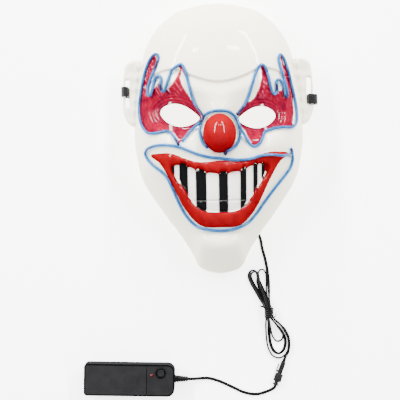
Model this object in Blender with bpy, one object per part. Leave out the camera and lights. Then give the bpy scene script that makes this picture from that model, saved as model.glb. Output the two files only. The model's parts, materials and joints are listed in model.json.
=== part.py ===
"""Light-up clown mask with glow wires, head strap, coiled lead and battery case.

The mask lies face up on its rim. X = 0 is its plane of symmetry, +Y points to the
crown and +Z away from the face; the origin is the middle of the face opening, on the
plane that the rim rests on. The battery case lies beside it on the same plane.

The face is one moulded sheet. Its outer skin is a height over the plan (x, y), worked
out by face_height() from an outline, a long profile and the features' own sizes. Tables
hold shares: "across" is a share of half the face width, "up" of half the face height.
"""

import math

import bmesh
import bpy
import numpy as np
from mathutils import Matrix, Vector
from mathutils.geometry import delaunay_2d_cdt

# Moulded face
FACE_HEIGHT = 0.282
FACE_WIDTH = 0.175
FACE_DEPTH = 0.074
WALL = 0.0016
RIM_LIFT = 0.0095
DOME_CENTRE_UP = 0.07
RIM_POINTS = 92
HALF_HEIGHT = FACE_HEIGHT / 2
HALF_WIDTH = FACE_WIDTH / 2
MM = FACE_HEIGHT / 282  # one millimetre at the mask's own size

# Features of the face
NOSE_WIDTH = 0.0326
NOSE_HEIGHT = 0.037
NOSE_DEPTH = 0.021
NOSE_UP = 0.006
BRIDGE_WIDTH = 0.013
BRIDGE_RISE = 0.006
BROW_STEP = 0.0026
BROW_ROLL = 0.002
CHEEK_RISE = 0.005
CHIN_RISE = 0.0065
CHIN_GROOVE = 0.0028
SOCKET_DEPTH = 0.0065
SOCKET_REACH = 0.012
LIP_RISE = 0.0045
MOUTH_HALF_WIDTH = 0.0698
TEETH_HALF_WIDTH = 0.0484
TEETH_RECESS = 0.003
DARK_TOOTH_RISE = 0.0026
LIGHT_TOOTH_RISE = 0.0014
BITE_UP = -0.46
BITE_GROOVE = 0.001

# Ears and their strap slots
EAR_ROOT_X = 0.076
EAR_REACH = 0.0225
EAR_HEIGHT = 0.0684
EAR_BOTTOM_UP = 0.085
EAR_ROOT_Z = 0.030
EAR_DROP = 0.010
EAR_THICKNESS = 0.0024
SLOT_LENGTH = 0.028
SLOT_WIDTH = 0.0047
SLOT_STRIP = 0.0028
SLOT_UP = 0.33

# Head strap
STRAP_WIDTH = 0.010
STRAP_THICKNESS = 0.0012
STRAP_LAP = 0.024
STRAP_LEFT_UP = 0.348
STRAP_RIGHT_UP = 0.272
STRAP_LEFT_SLACK = 0.0006
STRAP_RIGHT_SLACK = 0.0032

# Glow wires
WIRE_DIAMETER = 0.0023
WIRE_HOLE_RADIUS = 0.0018
WIRE_SEAT = 0.0005
WIRE_TAIL_SEAT = 0.0009
WIRE_TAIL_SAG = 0.003
SPLICE_DIAMETER = 0.0095
SPLICE_LENGTH = 0.018
SPLICE_ACROSS = 0.30
SPLICE_UP = -0.52
SPLICE_TURN = -64.0

# Lead, hank and connector
CORD_DIAMETER = 0.0028
FLOOR_GAP = 0.0003
HANK_THICKNESS = 0.0076
HANK_FLOOR = 0.0012
TIE_THICKNESS = 0.0006
TIE_WIDTH = 0.0042
TIE_TAIL = 0.0062
PLUG_LENGTH = 0.0128
PLUG_WIDTH = 0.0047
PLUG_HEIGHT = 0.0052
SOCKET_LENGTH = 0.0085
SOCKET_WIDTH = 0.0080
SOCKET_COLLAR = 0.0040
LATCH_LENGTH = 0.0095

# Battery case
CASE_X = -0.0968
CASE_Y = -0.2489
CASE_TURN = -1.8
CASE_LENGTH = 0.0938
CASE_DEPTH = 0.0330
CASE_HEIGHT = 0.0220
CASE_WALL = 0.0016
CASE_LEFT_RADIUS = 0.0035
CASE_RIGHT_RADIUS = 0.0075
CELL_DIAMETER = 0.0145
CELL_LENGTH = 0.0505
COVER_LENGTH = 0.695 * CASE_LENGTH
COVER_THICKNESS = 0.0020
COVER_LIP = 0.0019
GRIP_COUNT = 5
GRIP_WIDTH = 0.0012
GRIP_LENGTH = 0.0100
GRIP_DEPTH = 0.0006
BUTTON_RADIUS = 0.0036
BUTTON_RISE = 0.0016
BEZEL_WIDTH = 0.0015
BEZEL_RISE = 0.0008
BUTTON_X = CASE_LENGTH / 2 - 0.0144
BUTTON_Y = 0.0080
LAMP_RADIUS = 0.0016
LAMP_X = COVER_LENGTH - CASE_LENGTH / 2 + 0.0047
LAMP_Y = 0.0054
BOOT_LENGTH = 0.0138
BOOT_DIAMETER = 0.0079
BOOT_TIP_DIAMETER = 0.0052
BOOT_Z = 0.0050
CLEARANCE = 0.0003

# Half outline of the face: up, across
FACE_OUTLINE = (
    (1.000, 0.000), (0.986, 0.217), (0.935, 0.490), (0.861, 0.643), (0.788, 0.744),
    (0.715, 0.815), (0.642, 0.865), (0.569, 0.897), (0.423, 0.938), (0.276, 0.968),
    (0.130, 0.989), (0.020, 0.998), (-0.089, 0.986), (-0.163, 0.965), (-0.236, 0.944),
    (-0.309, 0.903), (-0.382, 0.841), (-0.455, 0.765), (-0.528, 0.685), (-0.602, 0.602),
    (-0.675, 0.511), (-0.748, 0.434), (-0.821, 0.360), (-0.894, 0.304), (-0.931, 0.278),
    (-0.967, 0.218), (-1.000, 0.000),
)

# Long profile of the face: up, share of the face depth
PROFILE = (
    (-1.0, 0.80), (-0.8, 0.86), (-0.65, 0.84), (-0.4, 0.97), (-0.1, 1.00), (0.15, 0.95),
    (0.30, 0.96), (0.50, 1.00), (0.75, 1.00), (1.0, 0.95),
)

# Crease under the forehead: across, up
CREASE = (
    (-1.00, 0.36), (-0.80, 0.42), (-0.62, 0.465), (-0.45, 0.465), (-0.30, 0.42),
    (0.00, 0.376), (0.30, 0.42), (0.45, 0.465), (0.62, 0.465), (0.80, 0.42), (1.00, 0.36),
)

# Eye holes: side, centre across, centre up, then as shares of the half width and the half
# height: length, height, fall of the inner tip
EYES = (
    (-1, -0.452, 0.150, 0.457, 0.162, 0.043),
    (1, 0.435, 0.126, 0.434, 0.157, 0.023),
)

# Edge of an eye hole: share of its length from the outer end, share of half its height
EYE_EDGE = (
    (0.00, 0.00), (0.04, 0.42), (0.14, 0.72), (0.28, 0.93), (0.44, 1.00), (0.60, 0.92),
    (0.76, 0.68), (0.90, 0.36), (1.00, 0.00), (0.96, -0.26), (0.84, -0.58), (0.68, -0.86),
    (0.50, -1.00), (0.32, -0.92), (0.16, -0.66), (0.05, -0.32),
)

# Outer edge of the lips: share of the mouth's half width, up along the top, along the bottom
LIP_OUTER = (
    (0.000, -0.179, -0.652), (0.286, -0.188, -0.638), (0.500, -0.160, -0.528),
    (0.690, -0.123, -0.342), (0.857, -0.120, -0.193), (1.000, -0.130, -0.130),
)

# Inner edge of the lips: share of the teeth's half width, up along the top, along the bottom
LIP_INNER = (
    (0.000, -0.275, -0.546), (0.412, -0.257, -0.526), (0.721, -0.216, -0.410),
    (1.000, -0.216, -0.216),
)

# Teeth: start as a share of the teeth's half width, dark or light
TEETH = (
    (-1.025, "dark"), (-0.945, "light"), (-0.840, "dark"), (-0.665, "light"),
    (-0.502, "dark"), (-0.285, "light"), (-0.030, "dark"), (0.157, "light"),
    (0.413, "dark"), (0.537, "light"), (0.680, "dark"), (0.770, "light"),
    (0.855, "dark"), (0.930, "light"),
)

# Outline of an ear: share of its reach, share of its height
EAR_EDGE = (
    (0.18, 0.995), (0.53, 1.00), (0.80, 0.95), (0.93, 0.80), (0.98, 0.57), (1.00, 0.34),
    (0.98, 0.22), (0.85, 0.11), (0.67, 0.03), (0.47, 0.00),
)

# Routes of the glow wires on the face, live end first: across, up, lift (1 rides over a wire)
WIRE_LEFT_EYE = (
    (-0.467, -0.061, 0), (-0.495, -0.029, 0), (-0.521, -0.001, 0), (-0.556, 0.025, 0),
    (-0.608, 0.037, 0), (-0.696, 0.028, 0), (-0.760, 0.024, 0), (-0.823, 0.031, 0),
    (-0.876, 0.069, 0), (-0.914, 0.127, 0), (-0.926, 0.213, 0), (-0.914, 0.284, 0),
    (-0.891, 0.362, 0), (-0.860, 0.446, 0), (-0.824, 0.510, 0), (-0.784, 0.558, 0),
    (-0.735, 0.588, 0), (-0.699, 0.587, 0), (-0.684, 0.564, 0), (-0.700, 0.528, 0),
    (-0.740, 0.469, 0), (-0.781, 0.412, 0), (-0.812, 0.360, 0), (-0.819, 0.314, 0),
    (-0.792, 0.294, 0), (-0.769, 0.322, 0), (-0.746, 0.377, 0), (-0.714, 0.419, 0),
    (-0.676, 0.429, 0), (-0.653, 0.405, 0), (-0.668, 0.366, 0), (-0.656, 0.329, 0),
    (-0.627, 0.318, 0), (-0.600, 0.349, 0), (-0.570, 0.404, 0), (-0.527, 0.465, 0),
    (-0.476, 0.490, 0), (-0.421, 0.501, 0), (-0.383, 0.461, 0), (-0.351, 0.390, 0),
    (-0.326, 0.322, 0), (-0.299, 0.262, 0), (-0.262, 0.206, 0.4), (-0.207, 0.156, 1.5),
    (-0.184, 0.122, 1.8), (-0.233, 0.087, 1.3), (-0.300, 0.052, 0.3), (-0.365, 0.005, 0),
    (-0.424, -0.039, 0),
)
WIRE_RIGHT_EYE = (
    (0.207, 0.151, 0), (0.245, 0.174, 0), (0.289, 0.211, 0), (0.325, 0.253, 0),
    (0.351, 0.293, 0), (0.391, 0.374, 0), (0.430, 0.444, 0), (0.465, 0.481, 0),
    (0.495, 0.492, 0), (0.529, 0.477, 0), (0.561, 0.424, 0), (0.586, 0.354, 0),
    (0.611, 0.305, 0), (0.639, 0.286, 0), (0.665, 0.303, 0), (0.667, 0.341, 0),
    (0.660, 0.375, 0), (0.684, 0.390, 0), (0.723, 0.377, 0), (0.753, 0.337, 0),
    (0.765, 0.288, 0), (0.782, 0.264, 0), (0.794, 0.292, 0), (0.782, 0.338, 0),
    (0.748, 0.412, 0), (0.712, 0.484, 0), (0.697, 0.542, 0), (0.717, 0.573, 0),
    (0.755, 0.550, 0), (0.801, 0.473, 0), (0.840, 0.382, 0), (0.873, 0.293, 0),
    (0.899, 0.212, 0), (0.907, 0.136, 0), (0.887, 0.080, 0), (0.834, 0.056, 0),
    (0.735, 0.055, 0), (0.635, 0.047, 0), (0.548, 0.030, 0), (0.507, 0.013, 0),
    (0.484, -0.029, 0), (0.445, -0.067, 0), (0.397, -0.084, 0), (0.354, -0.074, 0),
    (0.309, -0.035, 0.3), (0.272, 0.007, 1.2), (0.239, 0.047, 1.6), (0.214, 0.088, 1.6),
    (0.206, 0.118, 1.5),
)
WIRE_NOSE = (
    (0.052, -0.121, 0), (0.108, -0.109, 0), (0.174, -0.082, 0), (0.220, -0.036, 0),
    (0.234, 0.016, 0), (0.218, 0.080, 0), (0.179, 0.129, 0), (0.113, 0.160, 0),
    (0.015, 0.170, 0), (-0.086, 0.164, 0), (-0.159, 0.144, 0), (-0.203, 0.106, 0),
    (-0.223, 0.053, 0), (-0.217, -0.005, 0), (-0.186, -0.061, 0), (-0.138, -0.090, 0),
)
WIRE_MOUTH = (
    (0.796, -0.143, 0), (0.712, -0.150, 0), (0.587, -0.144, 0), (0.466, -0.150, 0),
    (0.348, -0.171, 0), (0.229, -0.178, 0), (0.110, -0.172, 0), (-0.008, -0.163, 0),
    (-0.128, -0.154, 0), (-0.237, -0.136, 0), (-0.338, -0.111, 0), (-0.442, -0.084, 0),
    (-0.529, -0.070, 0), (-0.643, -0.063, 0), (-0.761, -0.069, 0), (-0.834, -0.088, 0),
    (-0.857, -0.118, 0), (-0.823, -0.164, 0), (-0.751, -0.211, 0), (-0.669, -0.250, 0),
    (-0.602, -0.299, 0), (-0.547, -0.372, 0), (-0.477, -0.476, 0), (-0.419, -0.546, 0),
    (-0.350, -0.604, 0), (-0.260, -0.648, 0), (-0.136, -0.669, 0), (-0.016, -0.676, 0),
    (0.105, -0.672, 0), (0.233, -0.650, 0), (0.329, -0.617, 0), (0.410, -0.563, 0),
    (0.512, -0.476, 0), (0.636, -0.375, 0), (0.738, -0.299, 0), (0.813, -0.237, 0),
    (0.844, -0.178, 0), (0.837, -0.132, 0), (0.824, -0.098, 0),
)

# Glow wires: node, route, points along it, place in the splice, points of its inner tail
WIRES = (
    ("wire_left_eye", WIRE_LEFT_EYE, 62, (1, 1), ((-0.30, -0.20), (0.05, -0.36))),
    ("wire_right_eye", WIRE_RIGHT_EYE, 60, (-1, 1), ((0.40, 0.00), (0.52, -0.24))),
    ("wire_nose", WIRE_NOSE, 28, (1, -1), ((0.12, -0.24), (0.20, -0.38))),
    ("wire_mouth", WIRE_MOUTH, 54, (-1, -1), ((0.64, -0.20), (0.50, -0.38))),
)

# Lead on the plane, in metres: x, y, height of its axis above its resting height
LEAD_ROUTE = (
    (0.0355, -0.0900, 0.0150), (0.0376, -0.0955, 0.0040), (0.0400, -0.1005, 0.0004),
    (0.0422, -0.1065, 0.0), (0.0440, -0.1164, 0.0), (0.0469, -0.1280, 0.0),
    (0.0492, -0.1416, 0.0), (0.0500, -0.1595, 0.0), (0.0500, -0.1710, 0.0014),
    (0.0500, -0.1787, 0.0032),
)
TAIL_ROUTE = (
    (0.0690, -0.2215, 0.0022), (0.0682, -0.2262, 0.0016), (0.0665, -0.2305, 0.0012),
)
CASE_LEAD_ROUTE = (
    (0.0522, -0.2632, 0.0006), (0.0464, -0.2659, 0.0), (0.0350, -0.2686, 0.0),
    (0.0229, -0.2666, 0.0), (0.0108, -0.2610, 0.0), (-0.0030, -0.2545, 0.0),
    (-0.0143, -0.2510, 0.0006), (-0.0257, -0.2508, 0.0022),
)

# Outline of the tied hank on the plane, in metres: x, y
HANK_OUTLINE = (
    (0.0500, -0.1798), (0.0462, -0.1770), (0.0445, -0.1680), (0.0452, -0.1560),
    (0.0462, -0.1445), (0.0440, -0.1365), (0.0395, -0.1368), (0.0350, -0.1382),
    (0.0302, -0.1380), (0.0278, -0.1440), (0.0305, -0.1530), (0.0382, -0.1665),
    (0.0442, -0.1790), (0.0448, -0.1850), (0.0450, -0.1900), (0.0448, -0.2050), (0.0468, -0.2200),
    (0.0525, -0.2290), (0.0595, -0.2315), (0.0655, -0.2250), (0.0680, -0.2190),
    (0.0706, -0.2070), (0.0665, -0.1980), (0.0600, -0.1920), (0.0552, -0.1885),
    (0.0542, -0.1850), (0.0538, -0.1810),
)
TIE_AT = (0.0496, -0.1852)
TIE_TURN = -4.0
CONNECTOR_AT = (0.0642, -0.2349)
CONNECTOR_TURN = -110.5

MATERIALS = {
    # name: colour, roughness, metallic
    "shell_white": ((0.90, 0.88, 0.85), 0.28, 0.0),
    "wire_blue": ((0.10, 0.36, 0.72), 0.35, 0.0),
    "elastic_black": ((0.02, 0.02, 0.022), 0.85, 0.0),
    "sleeve_black": ((0.025, 0.025, 0.025), 0.5, 0.0),
    "cord_black": ((0.02, 0.02, 0.02), 0.42, 0.0),
    "case_grey": ((0.055, 0.055, 0.058), 0.5, 0.0),
    "cover_grey": ((0.060, 0.060, 0.063), 0.5, 0.0),
    "button_black": ((0.03, 0.03, 0.03), 0.4, 0.0),
    "lamp_red": ((0.65, 0.02, 0.02), 0.2, 0.0),
}


def clear_scene():
    """Remove the objects that the scene starts with."""
    for obj in list(bpy.data.objects):
        bpy.data.objects.remove(obj, do_unlink=True)


def make_material(key, node_name):
    """A Principled material of its own for one node."""
    colour, roughness, metallic = MATERIALS[key]
    mat = bpy.data.materials.new(f"{node_name}_{key}")
    mat.use_nodes = True
    shader = mat.node_tree.nodes["Principled BSDF"]
    shader.inputs["Base Color"].default_value = (*colour, 1.0)
    shader.inputs["Roughness"].default_value = roughness
    shader.inputs["Metallic"].default_value = metallic
    mat.diffuse_color = (*colour, 1.0)
    return mat


def add_object(name, mesh_or_curve, key, parent=None):
    """Link an object with its own material and return it."""
    obj = bpy.data.objects.new(name, mesh_or_curve)
    bpy.context.scene.collection.objects.link(obj)
    obj.data.materials.append(make_material(key, name))
    obj.parent = parent
    return obj


def add_empty(name, location, turn_degrees):
    """An empty that places a group of pieces."""
    empty = bpy.data.objects.new(name, None)
    bpy.context.scene.collection.objects.link(empty)
    empty.location = location
    empty.rotation_euler = (0.0, 0.0, math.radians(turn_degrees))
    return empty


def mesh_from(name, verts, faces, sharp=35.0):
    """A mesh with its faces pointing out, smooth but for its sharp edges."""
    mesh = bpy.data.meshes.new(name)
    mesh.from_pydata([tuple(map(float, v)) for v in verts], [], faces)
    work = bmesh.new()
    work.from_mesh(mesh)
    bmesh.ops.recalc_face_normals(work, faces=work.faces)
    work.to_mesh(mesh)
    work.free()
    mesh.shade_smooth()
    mesh.set_sharp_from_angle(angle=math.radians(sharp))
    return mesh


def as_tool(obj):
    """Turn an object into a helper of a Boolean, left out of the model."""
    obj.hide_render = True
    obj.display_type = "WIRE"
    return obj


def add_boolean(obj, tool, operation):
    """Join or cut with a helper object."""
    modifier = obj.modifiers.new(f"{operation.lower()}_{tool.name}", "BOOLEAN")
    modifier.operation = operation
    modifier.object = tool
    modifier.solver = "EXACT"


def evenly(line, count, closed):
    """Points spaced evenly along a polyline."""
    line = np.asarray(line, float)
    if closed:
        line = np.vstack([line, line[:1]])
    steps = np.linalg.norm(np.diff(line, axis=0), axis=1)
    along = np.concatenate([[0.0], np.cumsum(steps)])
    at = np.linspace(0.0, along[-1], count, endpoint=not closed)
    return np.column_stack([np.interp(at, along, column) for column in line.T])


def smooth_through(points, count, closed):
    """Evenly spaced points on a smooth curve (centripetal spline) through points."""
    pts = np.asarray(points, float)
    total = len(pts)
    dense = []
    for i in range(total if closed else total - 1):
        b, c = pts[i], pts[(i + 1) % total]
        a = pts[i - 1] if closed or i else 2 * b - c
        d = pts[(i + 2) % total] if closed or i + 2 < total else 2 * c - b
        ab, bc, cd = (max(np.linalg.norm(q - p), 1e-9) ** 0.5 for p, q in ((a, b), (b, c), (c, d)))
        start = ((b - a) / ab - (c - a) / (ab + bc) + (c - b) / bc) * bc
        end = ((c - b) / bc - (d - b) / (bc + cd) + (d - c) / cd) * bc
        for t in np.linspace(0.0, 1.0, 12, endpoint=False):
            dense.append(
                (2 * t**3 - 3 * t**2 + 1) * b + (t**3 - 2 * t**2 + t) * start
                + (3 * t**2 - 2 * t**3) * c + (t**3 - t**2) * end
            )
    if not closed:
        dense.append(pts[-1])
    return evenly(dense, count, closed)


def read_table(table, at):
    """Smooth value of a two-column table, held at its ends."""
    keys, values = np.array(table, float).T
    slopes = np.gradient(values, keys)
    at = np.clip(at, keys[0], keys[-1])
    i = np.clip(np.searchsorted(keys, at, side="right") - 1, 0, len(keys) - 2)
    span = keys[i + 1] - keys[i]
    t = (at - keys[i]) / span
    return (
        (2 * t**3 - 3 * t**2 + 1) * values[i] + (t**3 - 2 * t**2 + t) * span * slopes[i]
        + (3 * t**2 - 2 * t**3) * values[i + 1] + (t**3 - t**2) * span * slopes[i + 1]
    )


def ease(t):
    """0 below 0, 1 above 1, smooth between."""
    t = np.clip(t, 0.0, 1.0)
    return t * t * (3.0 - 2.0 * t)


def inside_distance(x, y, loop):
    """Distance to a closed loop of plan points, positive inside it."""
    start = np.asarray(loop)
    end = np.roll(start, -1, axis=0)
    edge = end - start
    rise = np.where(edge[:, 1] == 0.0, 1e-18, edge[:, 1])
    px, py = np.ravel(x)[:, None], np.ravel(y)[:, None]
    wx, wy = px - start[:, 0], py - start[:, 1]
    t = np.clip((wx * edge[:, 0] + wy * edge[:, 1]) / (edge**2).sum(axis=1), 0.0, 1.0)
    gap = np.sqrt(((wx - t * edge[:, 0]) ** 2 + (wy - t * edge[:, 1]) ** 2).min(axis=1))
    spans = (start[:, 1] > py) != (end[:, 1] > py)
    crossings = (spans & (px < start[:, 0] + wy * edge[:, 0] / rise)).sum(axis=1)
    return np.where(crossings % 2 == 1, gap, -gap).reshape(np.shape(x))


def face_loop(count):
    """Plan outline of the face."""
    right = [(across * HALF_WIDTH, up * HALF_HEIGHT) for up, across in FACE_OUTLINE]
    left = [(-x, y) for x, y in right[-2:0:-1]]
    return smooth_through(right + left, count, True)


def eye_loop(side, across, up, length, height, fall, count=26, grow=0.0):
    """Plan edge of one eye hole, its pointed tip towards the nose."""
    length, height, fall = length * HALF_WIDTH, height * HALF_HEIGHT, fall * HALF_HEIGHT
    points = []
    for along, above in EYE_EDGE:
        x = across * HALF_WIDTH - side * (along - 0.5) * (length + 2 * grow)
        y = up * HALF_HEIGHT + above * (height / 2 + grow) - fall * (along - 0.42)
        points.append((x, y))
    return smooth_through(points, count, True)


def lip_loop(table, half_width, count, end_share=1.0):
    """Plan edge of the lips from a table of across, top and bottom."""
    top = [(across * half_width, up * HALF_HEIGHT) for across, up, _ in table]
    low = [(across * half_width, up * HALF_HEIGHT) for across, _, up in table[:-1]]
    right = top + low[::-1]
    left = [(-x, y) for x, y in low[1:] + top[:0:-1]]
    return smooth_through(right + left, count, True) * (1.0, end_share)


OUTLINE = face_loop(360)
OUTLINE_ANGLES = np.arctan2(OUTLINE[:, 1] - DOME_CENTRE_UP * HALF_HEIGHT, OUTLINE[:, 0])
OUTLINE_RADII = np.hypot(OUTLINE[:, 0], OUTLINE[:, 1] - DOME_CENTRE_UP * HALF_HEIGHT)
EYE_LOOPS = [eye_loop(*eye) for eye in EYES]
LIP_OUTER_LOOP = lip_loop(LIP_OUTER, MOUTH_HALF_WIDTH, 64)
LIP_INNER_LOOP = lip_loop(LIP_INNER, TEETH_HALF_WIDTH, 44)


def rim_share(x, y):
    """0 at the dome's centre, 1 on the outline."""
    dy = y - DOME_CENTRE_UP * HALF_HEIGHT
    reach = np.interp(np.arctan2(dy, x), OUTLINE_ANGLES, OUTLINE_RADII, period=2 * math.pi)
    return np.hypot(x, dy) / reach


def rim_height(y):
    """The rim rests at crown and chin and clears the strap and the lead between them."""
    t = np.clip((0.92 - np.abs(y) / HALF_HEIGHT) / 0.45, 0.0, 1.0)
    return RIM_LIFT * np.sin(t * math.pi / 2)


def mound(x, y, up, wide, tall):
    """Soft round bump of height 1 on the centre line."""
    return np.exp(-((x / wide) ** 2) - ((y - up * HALF_HEIGHT) / tall) ** 2)


def tooth_relief(x, y, within):
    """Height of the teeth: dark ones stand prouder than light ones, split at the bite."""
    edges = np.array([start for start, _ in TEETH] + [1.03]) * TEETH_HALF_WIDTH
    rises = np.array([DARK_TOOTH_RISE if tone == "dark" else LIGHT_TOOTH_RISE for _, tone in TEETH])
    i = np.clip(np.searchsorted(edges, x, side="right") - 1, 0, len(TEETH) - 1)
    across = 2 * (x - edges[i]) / (edges[i + 1] - edges[i]) - 1
    round_top = np.sqrt(np.clip(1 - across**4, 0.0, 1.0))
    bite = BITE_GROOVE * np.exp(-(((y - BITE_UP * HALF_HEIGHT) / (1.2 * MM)) ** 2))
    return (rises[i] * round_top - bite) * ease(within / (3 * MM))


def face_height(x, y):
    """Height of the outer skin over the plane that the rim rests on."""
    x, y = np.asarray(x, float), np.asarray(y, float)
    up, side = y / HALF_HEIGHT, np.abs(x)
    share = np.clip(rim_share(x, y), 0.0, 1.0)
    rim = rim_height(y)
    body = rim + (FACE_DEPTH * read_table(PROFILE, up) - rim) * (1 - share**2.5) ** (1 / 2.3)

    relief = CHEEK_RISE * mound(side - 0.57 * HALF_WIDTH, y, -0.03, 21 * MM, 20 * MM)
    relief += CHIN_RISE * mound(x, y, -0.80, 23 * MM, 12.5 * MM)
    relief -= CHIN_GROOVE * mound(x, y, -0.69, 26 * MM, 5 * MM)
    bridge = ease((up + 0.05) / 0.12) * ease((0.36 - up) / 0.2)
    relief += BRIDGE_RISE * np.exp(-((x / BRIDGE_WIDTH) ** 2)) * bridge
    above = y - read_table(CREASE, x / HALF_WIDTH) * HALF_HEIGHT
    fade = ease((1 - share) / 0.16)
    overhang = ease(above / (3.2 * MM) + 0.5) * np.exp(-((np.maximum(above, 0) / (30 * MM)) ** 2))
    relief += BROW_STEP * overhang * fade
    relief += BROW_ROLL * np.exp(-(((above + 11 * MM) / (7 * MM)) ** 2))
    for loop in EYE_LOOPS:
        away = np.maximum(-inside_distance(x, y, loop), 0.0)
        relief -= SOCKET_DEPTH * np.exp(-((away / SOCKET_REACH) ** 2))
    in_lips = np.maximum(inside_distance(x, y, LIP_OUTER_LOOP), 0.0)
    in_teeth = inside_distance(x, y, LIP_INNER_LOOP)
    off_teeth = np.maximum(-in_teeth, 0.0)
    roll = 4 * in_lips * off_teeth / (in_lips + off_teeth + 1e-9) ** 2
    relief += LIP_RISE * np.sqrt(np.clip(roll, 0.0, 1.0))
    relief -= TEETH_RECESS * ease(in_teeth / (2 * MM))
    relief += np.where(in_teeth > 0, tooth_relief(x, y, in_teeth), 0.0)
    skin = body + relief * fade

    q = (x / (NOSE_WIDTH / 2)) ** 2 + ((y - NOSE_UP * HALF_HEIGHT) / (NOSE_HEIGHT / 2)) ** 2
    ball = FACE_DEPTH + NOSE_DEPTH * np.sqrt(np.clip(1 - q, 0.0, 1.0))
    return np.where(q < 1, np.maximum(skin, ball), skin)


def face_normal(x, y):
    """Outward unit normals of the outer skin."""
    e = 0.4 * MM
    slope_x = (face_height(x + e, y) - face_height(x - e, y)) / (2 * e)
    slope_y = (face_height(x, y + e) - face_height(x, y - e)) / (2 * e)
    normals = np.stack([-slope_x, -slope_y, np.ones_like(slope_x)], axis=-1)
    return normals / np.linalg.norm(normals, axis=-1, keepdims=True)


def clear_height(x, y, clearance, side):
    """Height at which a ball of a given radius touches the skin from above or below."""
    heights = []
    for ring, count in ((0.0, 1), (0.45, 8), (0.8, 12), (0.97, 12)):
        rise = clearance * math.sqrt(1 - ring**2)
        for k in range(count):
            turn = 2 * math.pi * k / count
            dx, dy = ring * clearance * math.cos(turn), ring * clearance * math.sin(turn)
            heights.append(face_height(x + dx, y + dy) + side * rise)
    return np.max(heights, axis=0) if side > 0 else np.min(heights, axis=0)


def triangulate(loops, points):
    """Triangles of the plan region inside the first loop and outside the others."""
    coords, edges = [], []
    for loop in loops:
        first, size = len(coords), len(loop)
        coords += [Vector(p) for p in loop]
        edges += [(first + i, first + (i + 1) % size) for i in range(size)]
    coords += [Vector(p) for p in points]
    out, _, tris, origin, _, _ = delaunay_2d_cdt(coords, edges, [], 0, 1e-7)
    kept = []
    for tri in tris:
        middle = sum((out[i] for i in tri), Vector((0.0, 0.0))) / 3
        x, y = np.array([middle.x]), np.array([middle.y])
        inside = inside_distance(x, y, loops[0])[0] > 0
        holed = any(inside_distance(x, y, hole)[0] > 0 for hole in loops[1:])
        if inside and not holed:
            kept.append(tuple(origin[i][0] for i in tri))
    return kept


def sheet_solid(loops, top_points, low_points, top, low):
    """Closed sheet between a top and a low skin over one plan region with holes."""
    border = np.vstack(loops)
    verts = [*top(np.vstack([border, top_points])), *low(np.vstack([border, low_points]))]
    second = len(border) + len(top_points)
    faces = [tuple(tri) for tri in triangulate(loops, top_points)]
    faces += [tuple(second + i for i in tri[::-1]) for tri in triangulate(loops, low_points)]
    first = 0
    for loop in loops:
        for i in range(len(loop)):
            a, b = first + i, first + (i + 1) % len(loop)
            faces.append((a, second + a, second + b, b))
        first += len(loop)
    return verts, faces


def spread_points(levels, region_loops, taken):
    """Staggered rows of points, finest level first, each kept clear of the others."""
    taken = [np.asarray(p) for p in taken]
    for step, wanted in levels:
        rows = np.arange(-HALF_HEIGHT, HALF_HEIGHT, step * 0.87)
        grid = []
        for k, y in enumerate(rows):
            shift = step / 2 if k % 2 else 0.0
            xs = np.arange(-math.ceil(HALF_WIDTH / step) * step, HALF_WIDTH + step, step) + shift
            grid += [(x, y) for x in xs]
        grid = np.array(grid)
        grid = grid[wanted(grid[:, 0], grid[:, 1])]
        grid = grid[inside_distance(grid[:, 0], grid[:, 1], region_loops[0]) > step * 0.4]
        for hole in region_loops[1:]:
            grid = grid[inside_distance(grid[:, 0], grid[:, 1], hole) < -step * 0.4]
        for point in grid:
            near = np.vstack(taken)
            if np.min(np.hypot(*(near - point).T)) > step * 0.72:
                taken.append(point[None, :])
    return np.vstack(taken)


def lip_ring(share, count):
    """Plan ring part of the way from the outer to the inner edge of the lips."""
    outer, inner = (evenly(loop, count, True) for loop in (LIP_OUTER_LOOP, LIP_INNER_LOOP))
    return outer + (inner - outer) * share


def nose_loop(grow, count):
    """Plan ring round the nose."""
    turn = np.arange(count) * 2 * math.pi / count
    x = grow * NOSE_WIDTH / 2 * np.cos(turn)
    return np.column_stack([x, NOSE_UP * HALF_HEIGHT + grow * NOSE_HEIGHT / 2 * np.sin(turn)])


def teeth_points(rows):
    """Points on the edges and middles of the teeth, between the lips."""
    edges = [start * TEETH_HALF_WIDTH for start, _ in TEETH] + [1.03 * TEETH_HALF_WIDTH]
    columns = sorted(edges + [(a + b) / 2 for a, b in zip(edges, edges[1:])])
    half = [(across * TEETH_HALF_WIDTH, top, low) for across, top, low in LIP_INNER]
    points = []
    for x in columns:
        top = np.interp(abs(x), [r[0] for r in half], [r[1] for r in half]) * HALF_HEIGHT
        low = np.interp(abs(x), [r[0] for r in half], [r[2] for r in half]) * HALF_HEIGHT
        for share in rows:
            points.append((x, top + (low - top) * share))
    points = np.array(points)
    return points[inside_distance(points[:, 0], points[:, 1], LIP_INNER_LOOP) > 1.2 * MM]


def wire_holes():
    """Round holes, square to the skin, where the live end of each wire goes in."""
    holes = []
    for _, route, _, _, _ in WIRES:
        x, y = route[0][0] * HALF_WIDTH, route[0][1] * HALF_HEIGHT
        normal = Vector(face_normal(np.array([x]), np.array([y]))[0])
        first = normal.cross(Vector((0.0, 1.0, 0.0))).normalized()
        second = normal.cross(first)
        ring = []
        for k in range(8):
            turn = 2 * math.pi * (k + 0.5) / 8
            spoke = (first * math.cos(turn) + second * math.sin(turn)) * WIRE_HOLE_RADIUS
            ring.append((x + spoke.x, y + spoke.y))
        holes.append(np.array(ring))
    return holes


def outer_skin(plan):
    """Points of the outer skin over plan points."""
    return np.column_stack([plan, face_height(plan[:, 0], plan[:, 1])])


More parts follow.
